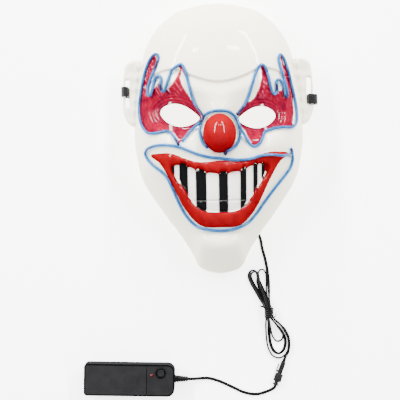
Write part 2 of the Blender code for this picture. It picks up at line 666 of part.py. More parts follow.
def inner_skin(plan):
    """Points of the inner skin, one wall below the outer one; level with it at the rim."""
    points = outer_skin(plan)
    normals = face_normal(plan[:, 0], plan[:, 1])
    at_rim = rim_share(plan[:, 0], plan[:, 1]) > 0.9995
    flat = normals * (1.0, 1.0, 0.0)
    flat = flat / (np.linalg.norm(flat, axis=1, keepdims=True) + 1e-12)
    return points - WALL * np.where(at_rim[:, None], flat, normals)


def near_crease(x, y):
    """Where the brow's crease needs close points."""
    above = y - read_table(CREASE, x / HALF_WIDTH) * HALF_HEIGHT
    return (np.abs(above) < 6 * MM) & (rim_share(x, y) < 0.93)


def near_eyes(x, y):
    """Where the eye sockets need close points."""
    return np.max([inside_distance(x, y, loop) for loop in EYE_LOOPS], axis=0) > -14 * MM


def near_mouth(x, y):
    """The lips and the teeth."""
    return inside_distance(x, y, LIP_OUTER_LOOP) > -2 * MM


def off_mouth(x, y):
    """The face round the lips."""
    return inside_distance(x, y, LIP_OUTER_LOOP) < -2 * MM


def near_wires(x, y):
    """Where a wire lies on the face, off the lips."""
    lines = []
    for _, route, _, _, _ in WIRES:
        knots = [(across * HALF_WIDTH, up * HALF_HEIGHT) for across, up, _ in route]
        lines.append(smooth_through(knots, 120, False))
    line = np.vstack(lines)
    gaps = np.hypot(x[:, None] - line[:, 0], y[:, None] - line[:, 1])
    return (gaps.min(axis=1) < 4.5 * MM) & off_mouth(x, y)


def anywhere(x, y):
    """The whole face."""
    return np.ones(np.shape(x), bool)


def build_ear(side):
    """One ear plate with its strap slot, as a helper that is joined to the shell."""
    sign = 1 if side > 0 else -1
    bottom = EAR_BOTTOM_UP * HALF_HEIGHT

    def middle_height(x):
        share = np.clip((np.abs(x) - EAR_ROOT_X) / EAR_REACH, 0.0, 1.0)
        return EAR_ROOT_Z - EAR_DROP * share

    def wall_x(y):
        xs = np.linspace(0.5 * HALF_WIDTH, HALF_WIDTH, 400)
        over = face_height(xs, np.full_like(xs, y)) > middle_height(xs)
        return xs[over].max() - WALL * 0.55

    edge = [(EAR_ROOT_X + share * EAR_REACH, bottom + t * EAR_HEIGHT) for share, t in EAR_EDGE]
    outer = smooth_through(edge, 26, False)
    root_ys = np.linspace(bottom + MM, bottom + EAR_HEIGHT - 2 * MM, 9)
    root = [(wall_x(y), y) for y in root_ys]
    outline = np.vstack([outer, root])
    slot_x = EAR_ROOT_X + EAR_REACH - SLOT_STRIP - SLOT_WIDTH / 2
    slot_y = SLOT_UP * HALF_HEIGHT
    half_w, half_l, corner = SLOT_WIDTH / 2, SLOT_LENGTH / 2, SLOT_WIDTH * 0.3
    slot = []
    for cx, cy, turn in ((1, 1, 0), (-1, 1, 90), (-1, -1, 180), (1, -1, 270)):
        for step in (0, 45, 90):
            angle = math.radians(turn + step)
            x = slot_x + cx * (half_w - corner) + corner * math.cos(angle)
            slot.append((x, slot_y + cy * (half_l - corner) + corner * math.sin(angle)))
    slot = np.array(slot)

    def skin(offset, raised):
        def surface(plan):
            depth = np.maximum(inside_distance(plan[:, 0], plan[:, 1], outline), 0.0)
            from_slot = np.maximum(-inside_distance(plan[:, 0], plan[:, 1], slot), 0.0)
            inward = 1 - np.clip((plan[:, 0] - EAR_ROOT_X) / EAR_REACH, 0.0, 1.0)
            helix = 1.4 * MM * np.exp(-(((depth - 2.5 * MM) / (2 * MM)) ** 2)) * (depth > 0.6 * MM)
            knob = 2.2 * MM * inward * np.sin(plan[:, 1] / EAR_HEIGHT * 6 * math.pi) ** 2
            relief = raised * (helix + knob) * ease(from_slot / (2 * MM))
            z = middle_height(plan[:, 0]) + offset + relief
            return np.column_stack([plan[:, 0] * sign, plan[:, 1], z])
        return surface

    inner_grid = []
    for row, y in enumerate(np.arange(bottom + 4 * MM, bottom + EAR_HEIGHT - 2 * MM, 4.2 * MM)):
        for x in np.arange(EAR_ROOT_X + (row % 2) * 2 * MM, EAR_ROOT_X + EAR_REACH, 4 * MM):
            inner_grid.append((x, y))
    grid = np.array(inner_grid)
    grid = grid[inside_distance(grid[:, 0], grid[:, 1], outline) > 1.4 * MM]
    grid = grid[inside_distance(grid[:, 0], grid[:, 1], slot) < -1.2 * MM]
    half = EAR_THICKNESS / 2
    verts, faces = sheet_solid([outline, slot], grid, grid[::3], skin(half, 1.0), skin(-half, 0.0))
    name = "ear_form_left" if side < 0 else "ear_form_right"
    return as_tool(add_object(name, mesh_from(name, verts, faces), "shell_white"))


def build_shell():
    """The moulded face with its lips, teeth, nose, ears, eye holes and wire holes."""
    rim = evenly(OUTLINE, RIM_POINTS, True)
    holes = EYE_LOOPS + wire_holes()
    loops = [rim, *holes]
    centre = np.array((0.0, DOME_CENTRE_UP * HALF_HEIGHT))

    near_rim = ((0.995, 1), (0.980, 1), (0.952, 1), (0.91, 1), (0.86, 2))
    fine = [centre + (rim[::skip] - centre) * share for share, skip in near_rim]
    fine += [nose_loop(s, n) for s, n in ((1.12, 24), (1.0, 24), (0.94, 24), (0.75, 16), (0.4, 8))]
    fine += [nose_loop(0.01, 1)]
    fine += [lip_ring(share, count) for share, count in ((0.0, 64), (0.2, 56), (0.5, 56), (0.8, 56))]
    fine += [LIP_INNER_LOOP, teeth_points((0.04, 0.22, 0.42, 0.60, 0.72, 0.95))]
    for eye in EYES:
        fine += [eye_loop(*eye, count=24, grow=3 * MM), eye_loop(*eye, count=24, grow=7.5 * MM)]
    fine = [ring[inside_holes(ring, holes, 1.1 * MM)] for ring in fine]
    levels = (
        (4.0 * MM, near_crease), (5.4 * MM, near_wires), (5.6 * MM, near_eyes), (9.2 * MM, off_mouth),
    )
    top_points = spread_points(levels, loops, fine)

    near_rim = ((0.993, 1), (0.965, 1), (0.92, 2), (0.865, 2))
    coarse = [centre + (rim[::skip] - centre) * share for share, skip in near_rim]
    coarse += [nose_loop(s, n) for s, n in ((1.25, 12), (0.95, 14), (0.75, 10), (0.35, 4))]
    coarse += [LIP_OUTER_LOOP[::2], LIP_INNER_LOOP[::2]]
    coarse = [ring[inside_holes(ring, holes, 1.6 * MM)] for ring in coarse]
    levels = ((7.5 * MM, near_mouth), (8 * MM, near_eyes), (12.5 * MM, anywhere))
    low_points = spread_points(levels, loops, coarse)

    verts, faces = sheet_solid(loops, top_points, low_points, outer_skin, inner_skin)
    shell = add_object("mask_shell", mesh_from("mask_shell", verts, faces), "shell_white")
    for side in (-1, 1):
        add_boolean(shell, build_ear(side), "UNION")
    return shell


def inside_holes(points, holes, margin):
    """Which plan points lie clear of every hole by a margin."""
    keep = np.ones(len(points), bool)
    for hole in holes:
        keep &= inside_distance(points[:, 0], points[:, 1], hole) < -margin
    return keep


def add_tube(name, points, diameter, key, resolution=2, parent=None):
    """A round cord or wire with filled caps along given points."""
    curve = bpy.data.curves.new(name, "CURVE")
    curve.dimensions = "3D"
    curve.bevel_depth = diameter / 2
    curve.bevel_resolution = resolution
    curve.use_fill_caps = True
    spline = curve.splines.new("POLY")
    spline.points.add(len(points) - 1)
    for slot, point in zip(spline.points, points):
        slot.co = (*map(float, point), 1.0)
    spline.use_smooth = True
    return add_object(name, curve, key, parent)


def splice_frame():
    """Middle, direction and up direction of the sleeve that joins the wires to the lead."""
    x, y = SPLICE_ACROSS * HALF_WIDTH, SPLICE_UP * HALF_HEIGHT
    reach = WALL + SPLICE_DIAMETER / 2 + WIRE_TAIL_SEAT
    turn = math.radians(SPLICE_TURN)
    ends = []
    for share in (-0.5, 0.5):
        px = x + share * SPLICE_LENGTH * math.cos(turn)
        py = y + share * SPLICE_LENGTH * math.sin(turn)
        ends.append(Vector((px, py, float(clear_height(np.array([px]), np.array([py]), reach, -1)[0]))))
    axis = (ends[1] - ends[0]).normalized()
    side = axis.cross(Vector((0.0, 0.0, 1.0))).normalized()
    return (ends[0] + ends[1]) / 2, axis, side, side.cross(axis)


def route_on_face(route, count, seat):
    """A wire's line over the face, high enough to clear what lies between its points."""
    between = 4
    over = WIRE_DIAMETER + WIRE_SEAT
    knots = [(across * HALF_WIDTH, up * HALF_HEIGHT, lift * over) for across, up, lift in route]
    x, y, lift = smooth_through(knots, (count - 1) * between + 1, False).T
    z = clear_height(x, y, seat, 1) + lift
    padded = np.pad(z, between - 1, mode="edge")
    high = np.max([padded[k:k + len(z)] for k in range(2 * between - 1)], axis=0)
    return x[::between], y[::between], high[::between]


def build_wires():
    """Glow wires seated on the face; each live end goes through its hole to the splice."""
    middle, axis, side, over = splice_frame()
    seat = WIRE_DIAMETER / 2 + WIRE_SEAT
    under = WALL + WIRE_DIAMETER / 2 + WIRE_TAIL_SEAT
    spacing = WIRE_DIAMETER / 2 + 0.5 * MM
    for name, route, count, (across, above), tail in WIRES:
        x, y, z = route_on_face(route, count, seat)
        on_face = [Vector(p) for p in zip(x, y, z)]

        hole = Vector((x[0], y[0], float(face_height(x[:1], y[:1])[0])))
        normal = Vector(face_normal(x[:1], y[:1])[0])
        above_hole = hole + normal * (seat + 0.2 * MM)
        below_hole = hole - normal * (under + MM)

        start = middle - axis * (SPLICE_LENGTH / 2 + CLEARANCE)
        end = start + (side * across + over * above) * spacing
        approach = end - axis * 6 * MM
        inner = smooth_through(
            [(below_hole.x, below_hole.y), *((a * HALF_WIDTH, u * HALF_HEIGHT) for a, u in tail),
             (approach.x, approach.y)], 8, False)
        ix, iy = inner[1:-1].T
        share = np.linspace(0.0, 1.0, len(inner))[1:-1]
        straight = below_hole.z + (approach.z - below_hole.z) * share
        sag = WIRE_TAIL_SAG * np.sin(share * math.pi)
        iz = np.minimum(straight, clear_height(ix, iy, under, -1)) - sag
        tail_points = [Vector(p) for p in zip(ix, iy, iz)]
        points = [end, approach, *reversed(tail_points), below_hole, above_hole, *on_face[1:]]
        add_tube(name, points, WIRE_DIAMETER, "wire_blue", resolution=1)

    ends = (middle - axis * SPLICE_LENGTH / 2, middle + axis * SPLICE_LENGTH / 2)
    line = [ends[0].lerp(ends[1], k / 4) for k in range(5)]
    add_tube("splice_sleeve", line, SPLICE_DIAMETER, "sleeve_black", resolution=3)


def strap_path():
    """Middle line of the strap across and up, from one lapped end to the other."""
    floor = FLOOR_GAP + STRAP_THICKNESS / 2
    lap = floor + STRAP_THICKNESS + CLEARANCE
    edge = EAR_ROOT_X + EAR_REACH
    slot = edge - SLOT_STRIP - SLOT_WIDTH / 2
    edge_z = EAR_ROOT_Z - EAR_DROP
    half = STRAP_THICKNESS / 2
    over = EAR_THICKNESS / 2 + half + 0.0024

    def side_points(slack):
        out = edge + half + slack
        return [
            (slot - STRAP_LAP, lap), (slot - 0.014, lap), (slot - 0.0095, lap + 0.0003),
            (slot - 0.0045, lap + 0.0018), (slot - 0.0012, lap + 0.0065),
            (slot - 0.0002, edge_z - 0.0050), (slot - 0.0004, edge_z + 0.0010),
            (slot + 0.0003, edge_z + over + 0.0006), (slot + 0.0030, edge_z + over + 0.0010),
            (out - 0.0010, edge_z + over - 0.0010), (out, edge_z - 0.0002),
            (out - 0.0002, edge_z - 0.0080), (out - 0.0016, floor + 0.0050),
            (out - 0.0050, floor + 0.0010), (out - 0.0095, floor), (slot - 0.012, floor),
        ]

    left = [(-x, z) for x, z in side_points(STRAP_LEFT_SLACK)]
    right = side_points(STRAP_RIGHT_SLACK)[::-1]
    left_line = smooth_through(left, 34, False)
    right_line = smooth_through(right, 34, False)
    return np.vstack([left_line, right_line])


def build_strap():
    """Flat elastic through both ear slots, each end lapped back on itself."""
    path = strap_path()
    ahead = np.gradient(path, axis=0)
    ahead /= np.linalg.norm(ahead, axis=1, keepdims=True)
    normal = np.column_stack([-ahead[:, 1], ahead[:, 0]])
    reach = EAR_ROOT_X + EAR_REACH
    left_y, right_y = STRAP_LEFT_UP * HALF_HEIGHT, STRAP_RIGHT_UP * HALF_HEIGHT
    verts = []
    for (x, z), (nx, nz) in zip(path, normal):
        middle = left_y + (right_y - left_y) * (x / reach + 1) / 2
        for out, wide in ((1, -1), (1, 1), (-1, 1), (-1, -1)):
            offset = out * STRAP_THICKNESS / 2
            verts.append((x + nx * offset, middle + wide * STRAP_WIDTH / 2, z + nz * offset))
    faces = [(0, 1, 2, 3), tuple(len(verts) - 4 + k for k in (3, 2, 1, 0))]
    for i in range(len(path) - 1):
        for k in range(4):
            a, b = 4 * i + k, 4 * i + (k + 1) % 4
            faces.append((a, a + 4, b + 4, b))
    add_object("head_strap", mesh_from("head_strap", verts, faces), "elastic_black")


def extruded_loop(loop, low, high, round_edge):
    """Closed solid of a plan loop with its top and bottom edges rounded off."""
    centre = loop.mean(axis=0)
    inner = loop.copy()
    ahead = np.roll(loop, -1, axis=0) - np.roll(loop, 1, axis=0)
    normal = np.column_stack([ahead[:, 1], -ahead[:, 0]])
    normal /= np.linalg.norm(normal, axis=1, keepdims=True)
    turned = np.sum(normal * (loop - centre), axis=1).mean()
    inner = loop - normal * round_edge * (1 if turned > 0 else -1)
    rings = [(inner, low), (loop, low + round_edge), (loop, high - round_edge), (inner, high)]
    verts = [(x, y, z) for ring, z in rings for x, y in ring]
    size = len(loop)
    faces = []
    for r in range(3):
        for i in range(size):
            a, b = r * size + i, r * size + (i + 1) % size
            faces.append((a, b, b + size, a + size))
    cap = triangulate([loop], np.empty((0, 2)))
    faces += [tuple(reversed(t)) for t in cap]
    faces += [tuple(3 * size + i for i in t) for t in cap]
    return verts, faces


def build_hank():
    """The tied hank of spare lead and the twist tie round its waist."""
    loop = smooth_through(HANK_OUTLINE, 48, True)
    top = HANK_FLOOR + HANK_THICKNESS
    verts, faces = extruded_loop(loop, HANK_FLOOR, top, 0.0014)
    add_object("lead_hank", mesh_from("lead_hank", verts, faces, 50), "cord_black")

    frame = add_empty("tie_place", (*TIE_AT, 0.0), TIE_TURN)
    half = waist_half_width(loop) + CLEARANCE
    low, high = HANK_FLOOR - CLEARANCE, top + CLEARANCE
    inner = rounded_box(half, low, high, 0.0016)
    outer = rounded_box(half + TIE_THICKNESS, low - TIE_THICKNESS, high + TIE_THICKNESS, 0.0020)
    size = len(inner)
    verts = [(x, y, z) for y in (-TIE_WIDTH / 2, TIE_WIDTH / 2) for ring in (inner, outer) for x, z in ring]
    faces = []
    for i in range(size):
        j = (i + 1) % size
        faces.append((i, j, size + j, size + i))
        faces.append((2 * size + i, 3 * size + i, 3 * size + j, 2 * size + j))
        faces.append((i, 2 * size + i, 2 * size + j, j))
        faces.append((size + i, size + j, 3 * size + j, 3 * size + i))
    tie = add_object("twist_tie", mesh_from("twist_tie", verts, faces), "sleeve_black", frame)
    for side, length in ((-1, TIE_TAIL), (1, TIE_TAIL * 0.35)):
        start = half + TIE_THICKNESS * 0.5
        box = box_mesh(f"tie_end_{side}", (start, -0.0011, high - 0.0012), (start + length, 0.0011, high - 0.0004))
        end = as_tool(add_object(f"tie_end_{'left' if side < 0 else 'right'}", box, "sleeve_black", frame))
        end.rotation_euler = (0.0, 0.0, math.pi if side < 0 else 0.0)
        add_boolean(tie, end, "UNION")


def waist_half_width(loop):
    """Half the width of the hank under the twist tie, square to the tie's plane."""
    turn = math.radians(TIE_TURN)
    rel = evenly(loop, 800, True) - TIE_AT
    x = rel[:, 0] * math.cos(turn) + rel[:, 1] * math.sin(turn)
    y = -rel[:, 0] * math.sin(turn) + rel[:, 1] * math.cos(turn)
    return float(np.abs(x[np.abs(y) < TIE_WIDTH * 0.6]).max())


def rounded_box(half, low, high, radius):
    """Loop of a rectangle with round corners, across and up."""
    loop = []
    for cx, cz, turn in ((1, 1, 0), (-1, 1, 90), (-1, -1, 180), (1, -1, 270)):
        for step in (0, 30, 60, 90):
            angle = math.radians(turn + step)
            z_mid = high - radius if cz > 0 else low + radius
            loop.append((cx * (half - radius) + radius * math.cos(angle), z_mid + radius * math.sin(angle)))
    return loop


def box_mesh(name, low, high):
    """A plain box between two corners."""
    verts = [(x, y, z) for z in (low[2], high[2]) for y in (low[1], high[1]) for x in (low[0], high[0])]
    faces = [(0, 2, 3, 1), (4, 5, 7, 6), (0, 1, 5, 4), (2, 6, 7, 3), (0, 4, 6, 2), (1, 3, 7, 5)]
    return mesh_from(name, verts, faces)


def add_bevel(obj, width, segments=2):
    """Round an object's edges."""
    modifier = obj.modifiers.new("edge_round", "BEVEL")
    modifier.width = width
    modifier.segments = segments
    modifier.limit_method = "ANGLE"
    modifier.angle_limit = math.radians(40)


def build_cords():
    """Lead from the splice to the hank, its tail to the connector and the case's lead."""
    middle, axis, _, _ = splice_frame()
    exit_point = middle + axis * (SPLICE_LENGTH / 2 + CLEARANCE)
    rest = CORD_DIAMETER / 2 + FLOOR_GAP
    knots = [tuple(exit_point), tuple(exit_point + axis * 0.005)]
    knots += [(x, y, z + rest) for x, y, z in LEAD_ROUTE]
    add_tube("mask_lead", smooth_through(knots, 19, False), CORD_DIAMETER, "cord_black")

    place, ahead = connector_line()
    tail = [(x, y, z + rest) for x, y, z in TAIL_ROUTE]
    socket_end = place - ahead * (0.0003 + CLEARANCE)
    tail += [tuple(socket_end - ahead * 0.003 + Vector((0.0, 0.0, 0.0))), tuple(socket_end)]
    add_tube("lead_tail", smooth_through(tail, 9, False), CORD_DIAMETER, "cord_black")

    total = PLUG_LENGTH + SOCKET_LENGTH + SOCKET_COLLAR + 2 * CLEARANCE
    first = place + ahead * (total + CLEARANCE)
    frame = case_matrix()
    boot_end = frame @ Vector((CASE_LENGTH / 2 + BOOT_LENGTH + 2 * CLEARANCE, 0.0, BOOT_Z))
    before = frame @ Vector((CASE_LENGTH / 2 + BOOT_LENGTH + 0.0045, 0.0, BOOT_Z - 0.0003))
    run = [tuple(first), tuple(first + ahead * 0.002)]
    run += [(x, y, z + rest) for x, y, z in CASE_LEAD_ROUTE] + [tuple(before), tuple(boot_end)]
    add_tube("case_lead", smooth_through(run, 19, False), CORD_DIAMETER, "cord_black")


def connector_line():
    """Start and direction of the connector's axis."""
    turn = math.radians(CONNECTOR_TURN)
    place = Vector((*CONNECTOR_AT, FLOOR_GAP + PLUG_HEIGHT / 2))
    return place, Vector((math.cos(turn), math.sin(turn), 0.0))


def build_connector():
    """Mated two-pin connector: a slim plug with its latch and a wider socket."""
    place, _ = connector_line()
    frame = add_empty("connector_place", place, CONNECTOR_TURN)
    half_w, half_h = PLUG_WIDTH / 2, PLUG_HEIGHT / 2
    plug_box = box_mesh("connector_plug", (0.0, -half_w, -half_h), (PLUG_LENGTH, half_w, half_h))
    plug = add_object("connector_plug", plug_box, "button_black", frame)
    latch = box_mesh("latch_arm", (PLUG_LENGTH - LATCH_LENGTH, -half_w - 0.0022, -0.0014),
                     (PLUG_LENGTH - 0.0006, -half_w - 0.0012, 0.0014))
    root = box_mesh("latch_root", (PLUG_LENGTH - 0.0026, -half_w - 0.0014, -0.0014),
                    (PLUG_LENGTH - 0.0008, -half_w + 0.0006, 0.0014))
    for name, mesh in (("latch_arm", latch), ("latch_root", root)):
        add_boolean(plug, as_tool(add_object(name, mesh, "button_black", frame)), "UNION")
    add_bevel(plug, 0.0003, 1)

    start = PLUG_LENGTH + CLEARANCE
    end = start + SOCKET_LENGTH
    half_s = SOCKET_WIDTH / 2
    body = box_mesh("connector_socket", (start, -half_s, -half_h), (end, half_s, half_h + 0.0006))
    socket = add_object("connector_socket", body, "button_black", frame)
    neck = box_mesh("socket_neck", (end - 0.0005, -half_w * 0.8, -half_h * 0.8),
                    (end + SOCKET_COLLAR, half_w * 0.8, half_h * 0.8))
    flange = box_mesh("socket_flange", (end + SOCKET_COLLAR - 0.0016, -0.0031, -half_h),
                      (end + SOCKET_COLLAR, 0.0031, half_h))
    for name, mesh in (("socket_neck", neck), ("socket_flange", flange)):
        add_boolean(socket, as_tool(add_object(name, mesh, "button_black", frame)), "UNION")
    add_bevel(socket, 0.0003, 1)


def case_matrix():
    """Place of the battery case on the plane."""
    turn = Matrix.Rotation(math.radians(CASE_TURN), 4, "Z")
    return Matrix.Translation((CASE_X, CASE_Y, 0.0)) @ turn


def case_outline(x_from, x_to, inset=0.0):
    """Plan loop of the case between two lengths, round only at the case's own ends."""
    half_l, half_d = CASE_LENGTH / 2, CASE_DEPTH / 2 - inset
    corners = []
    for cx, cy, turn in ((1, -1, -90), (1, 1, 0), (-1, 1, 90), (-1, -1, 180)):
        at_end = x_to >= half_l - 1e-6 if cx > 0 else x_from <= -half_l + 1e-6
        radius = CASE_RIGHT_RADIUS if cx > 0 else CASE_LEFT_RADIUS
        edge = x_to - inset if cx > 0 and at_end else x_from + inset if at_end else (x_to if cx > 0 else x_from)
        radius = max(radius - inset, 0.0006) if at_end else 0.0
        if radius == 0.0:
            corners.append((edge, cy * half_d))
            continue
        for step in (0, 22.5, 45, 67.5, 90):
            angle = math.radians(turn + step)
            corners.append((edge - cx * radius + radius * math.cos(angle),
                            cy * (half_d - radius) + radius * math.sin(angle)))
    return np.array(corners)


def prism(name, loop, low, high):
    """A straight extrusion of a plan loop."""
    size = len(loop)
    verts = [(x, y, z) for z in (low, high) for x, y in loop]
    faces = [tuple(range(size - 1, -1, -1)), tuple(range(size, 2 * size))]
    faces += [(i, (i + 1) % size, size + (i + 1) % size, size + i) for i in range(size)]
    return mesh_from(name, verts, faces, 50)


def disc(radius, count, centre=(0.0, 0.0)):
    """Plan loop of a circle."""
    turn = np.arange(count) * 2 * math.pi / count
    return np.column_stack([centre[0] + radius * np.cos(turn), centre[1] + radius * np.sin(turn)])


def lathe(name, profile, count, centre):
    """A turned solid about +Z from a profile of radius and height, closed at its ends."""
    verts, faces = [], []
    for radius, z in profile:
        verts += [(centre[0] + x, centre[1] + y, z) for x, y in disc(radius, count)]
    for r in range(len(profile) - 1):
        for i in range(count):
            a, b = r * count + i, r * count + (i + 1) % count
            faces.append((a, b, b + count, a + count))
    faces.append(tuple(range(count - 1, -1, -1)))
    last = (len(profile) - 1) * count
    faces.append(tuple(last + i for i in range(count)))
    return mesh_from(name, verts, faces, 40)


def build_case():
    """Battery case with its bay, sliding cover, button, bezel, lamp and lead boot."""
    frame = bpy.data.objects.new("case_place", None)
    bpy.context.scene.collection.objects.link(frame)
    frame.matrix_world = case_matrix()
    left, right = -CASE_LENGTH / 2, CASE_LENGTH / 2
    seam = left + COVER_LENGTH
    deck = CASE_HEIGHT - COVER_THICKNESS

    body = add_object("battery_case", prism("battery_case", case_outline(left, right), 0.0, CASE_HEIGHT),
                      "case_grey", frame)
    add_bevel(body, 0.0008, 2)
    bay_end = left + CASE_WALL + CELL_LENGTH + 0.004
    bay_half = CELL_DIAMETER + 0.0005
    ledge = box_mesh("case_ledge_cut", (left - 0.01, -CASE_DEPTH, deck), (seam, CASE_DEPTH, CASE_HEIGHT + 0.01))
    lip_half = CASE_DEPTH / 2 - CASE_LEFT_RADIUS + CLEARANCE
    lip = box_mesh("case_lip_cut", (left - 0.01, -lip_half, deck - COVER_LIP),
                   (left + CASE_WALL + CLEARANCE, lip_half, CASE_HEIGHT + 0.01))
    bay = box_mesh("case_bay_cut", (left + CASE_WALL, -bay_half, CASE_WALL), (bay_end, bay_half, CASE_HEIGHT))
    room = box_mesh("case_room_cut", (bay_end + CASE_WALL, -bay_half, CASE_WALL),
                    (right - CASE_WALL - 0.002, bay_half, CASE_HEIGHT - 0.0018))
    pass_cut = box_mesh("case_pass_cut", (bay_end - 0.001, -0.006, deck - 0.006),
                        (bay_end + CASE_WALL + 0.001, 0.006, deck - 0.001))
    button_hole = prism("case_button_cut", disc(BUTTON_RADIUS + CLEARANCE, 24, (BUTTON_X, BUTTON_Y)),
                        CASE_HEIGHT - 0.004, CASE_HEIGHT + 0.002)
    lamp_hole = prism("case_lamp_cut", disc(LAMP_RADIUS + CLEARANCE, 16, (LAMP_X, LAMP_Y)),
                      CASE_HEIGHT - 0.004, CASE_HEIGHT + 0.002)
    boot_hole = box_mesh("case_boot_cut", (right - 0.005, -0.0022, BOOT_Z - 0.0022),
                         (right + 0.002, 0.0022, BOOT_Z + 0.0022))
    for mesh in (ledge, lip, bay, room, pass_cut, button_hole, lamp_hole, boot_hole):
        tool = as_tool(add_object(mesh.name, mesh, "case_grey", frame))
        add_boolean(body, tool, "DIFFERENCE")

    build_cover(frame, left, seam, deck)

    bezel_profile = [
        (BUTTON_RADIUS + CLEARANCE, CASE_HEIGHT + CLEARANCE),
        (BUTTON_RADIUS + BEZEL_WIDTH, CASE_HEIGHT + CLEARANCE),
        (BUTTON_RADIUS + BEZEL_WIDTH, CASE_HEIGHT + CLEARANCE + BEZEL_RISE * 0.6),
        (BUTTON_RADIUS + BEZEL_WIDTH - 0.0003, CASE_HEIGHT + CLEARANCE + BEZEL_RISE),
        (BUTTON_RADIUS + CLEARANCE + 0.0003, CASE_HEIGHT + CLEARANCE + BEZEL_RISE),
        (BUTTON_RADIUS + CLEARANCE, CASE_HEIGHT + CLEARANCE + BEZEL_RISE * 0.6),
    ]
    bezel = ring_solid("switch_bezel", bezel_profile, 18, (BUTTON_X, BUTTON_Y))
    add_object("switch_bezel", bezel, "button_black", frame)

    seat_z = CASE_HEIGHT - 0.0045
    button_profile = [
        (BUTTON_RADIUS, seat_z), (BUTTON_RADIUS, CASE_HEIGHT + BUTTON_RISE - 0.0005),
        (BUTTON_RADIUS - 0.0005, CASE_HEIGHT + BUTTON_RISE),
    ]
    button = lathe("switch_button", button_profile, 20, (0.0, 0.0))
    obj = add_object("switch_button", button, "button_black", frame)
    obj.location = (BUTTON_X, BUTTON_Y, 0.0)

    lamp_profile = [(LAMP_RADIUS, CASE_HEIGHT - 0.003), (LAMP_RADIUS, CASE_HEIGHT)]
    for step in (30, 60, 80):
        angle = math.radians(step)
        lamp_profile.append((LAMP_RADIUS * math.cos(angle), CASE_HEIGHT + LAMP_RADIUS * 0.8 * math.sin(angle)))
    add_object("indicator_lamp", lathe("indicator_lamp", lamp_profile, 14, (LAMP_X, LAMP_Y)), "lamp_red", frame)

    boot_start = right + CLEARANCE
    profile = []
    ribs = 4
    for k in range(ribs):
        share, after = k / ribs, (k + 0.62) / ribs
        radius = (BOOT_DIAMETER + (BOOT_TIP_DIAMETER - BOOT_DIAMETER) * share) / 2
        profile += [(radius, boot_start + share * BOOT_LENGTH), (radius, boot_start + after * BOOT_LENGTH)]
        profile += [(radius - 0.0006, boot_start + (after + 0.02) * BOOT_LENGTH),
                    (radius - 0.0006, boot_start + (k + 0.96) / ribs * BOOT_LENGTH)]
    profile.append((BOOT_TIP_DIAMETER / 2 - 0.0004, boot_start + BOOT_LENGTH))
    boot = lathe("strain_relief", profile, 10, (0.0, 0.0))
    boot.transform(Matrix.Translation((0.0, 0.0, BOOT_Z)) @ Matrix.Rotation(math.pi / 2, 4, "Y"))
    add_object("strain_relief", boot, "case_grey", frame)


def ring_solid(name, profile, count, centre):
    """A turned ring about +Z from a closed profile of radius and height."""
    size = len(profile)
    verts, faces = [], []
    for k in range(count):
        turn = 2 * math.pi * k / count
        verts += [(centre[0] + r * math.cos(turn), centre[1] + r * math.sin(turn), z) for r, z in profile]
    for k in range(count):
        for i in range(size):
            a, b = k * size + i, k * size + (i + 1) % size
            c, d = (k + 1) % count * size + (i + 1) % size, (k + 1) % count * size + i
            faces.append((a, b, c, d))
    return mesh_from(name, verts, faces, 40)


def build_cover(frame, left, seam, deck):
    """Cover that slides off the bay towards the case's left end."""
    low, high = deck + CLEARANCE, CASE_HEIGHT
    plate = prism("battery_cover", case_outline(left, seam - CLEARANCE), low, high)
    cover = add_object("battery_cover", plate, "cover_grey", frame)
    add_bevel(cover, 0.0004, 1)
    lip_half = CASE_DEPTH / 2 - CASE_LEFT_RADIUS
    lip = box_mesh("cover_lip", (left + 0.0006, -lip_half, low - COVER_LIP),
                   (left + CASE_WALL, lip_half, low + 0.0004))
    add_boolean(cover, as_tool(add_object("cover_lip", lip, "cover_grey", frame)), "UNION")
    pitch = 2 * GRIP_WIDTH
    first = seam - 0.0062 - GRIP_COUNT * pitch
    for k in range(GRIP_COUNT):
        x = first + k * pitch
        groove = box_mesh("grip", (x, -GRIP_LENGTH / 2, high - GRIP_DEPTH),
                          (x + GRIP_WIDTH, GRIP_LENGTH / 2, high + 0.002))
        tool = as_tool(add_object(f"grip_cut_{k}", groove, "cover_grey", frame))
        add_boolean(cover, tool, "DIFFERENCE")


def main():
    """Build every piece of the mask and its battery lead."""
    clear_scene()
    build_shell()
    build_wires()
    build_strap()
    build_hank()
    build_cords()
    build_connector()
    build_case()
    bpy.context.view_layer.update()


main()
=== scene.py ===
"""Looks of the light-up clown mask, its tied lead and its battery case.

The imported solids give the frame: X = 0 is the face's plane of symmetry, +Y points to the
crown, +Z away from the face, and the plane z = 0 carries the rim and the battery case.
Each part of the product is a class that holds its sizes, builds its meshes from the same
formulas as the solids, and dresses them in procedural finishes.
"""

from __future__ import annotations

import json
import logging
import math
from collections.abc import Sequence
from dataclasses import dataclass
from enum import Enum

import bmesh
import bpy
import numpy as np
from mathutils import Matrix, Vector
from mathutils.geometry import delaunay_2d_cdt

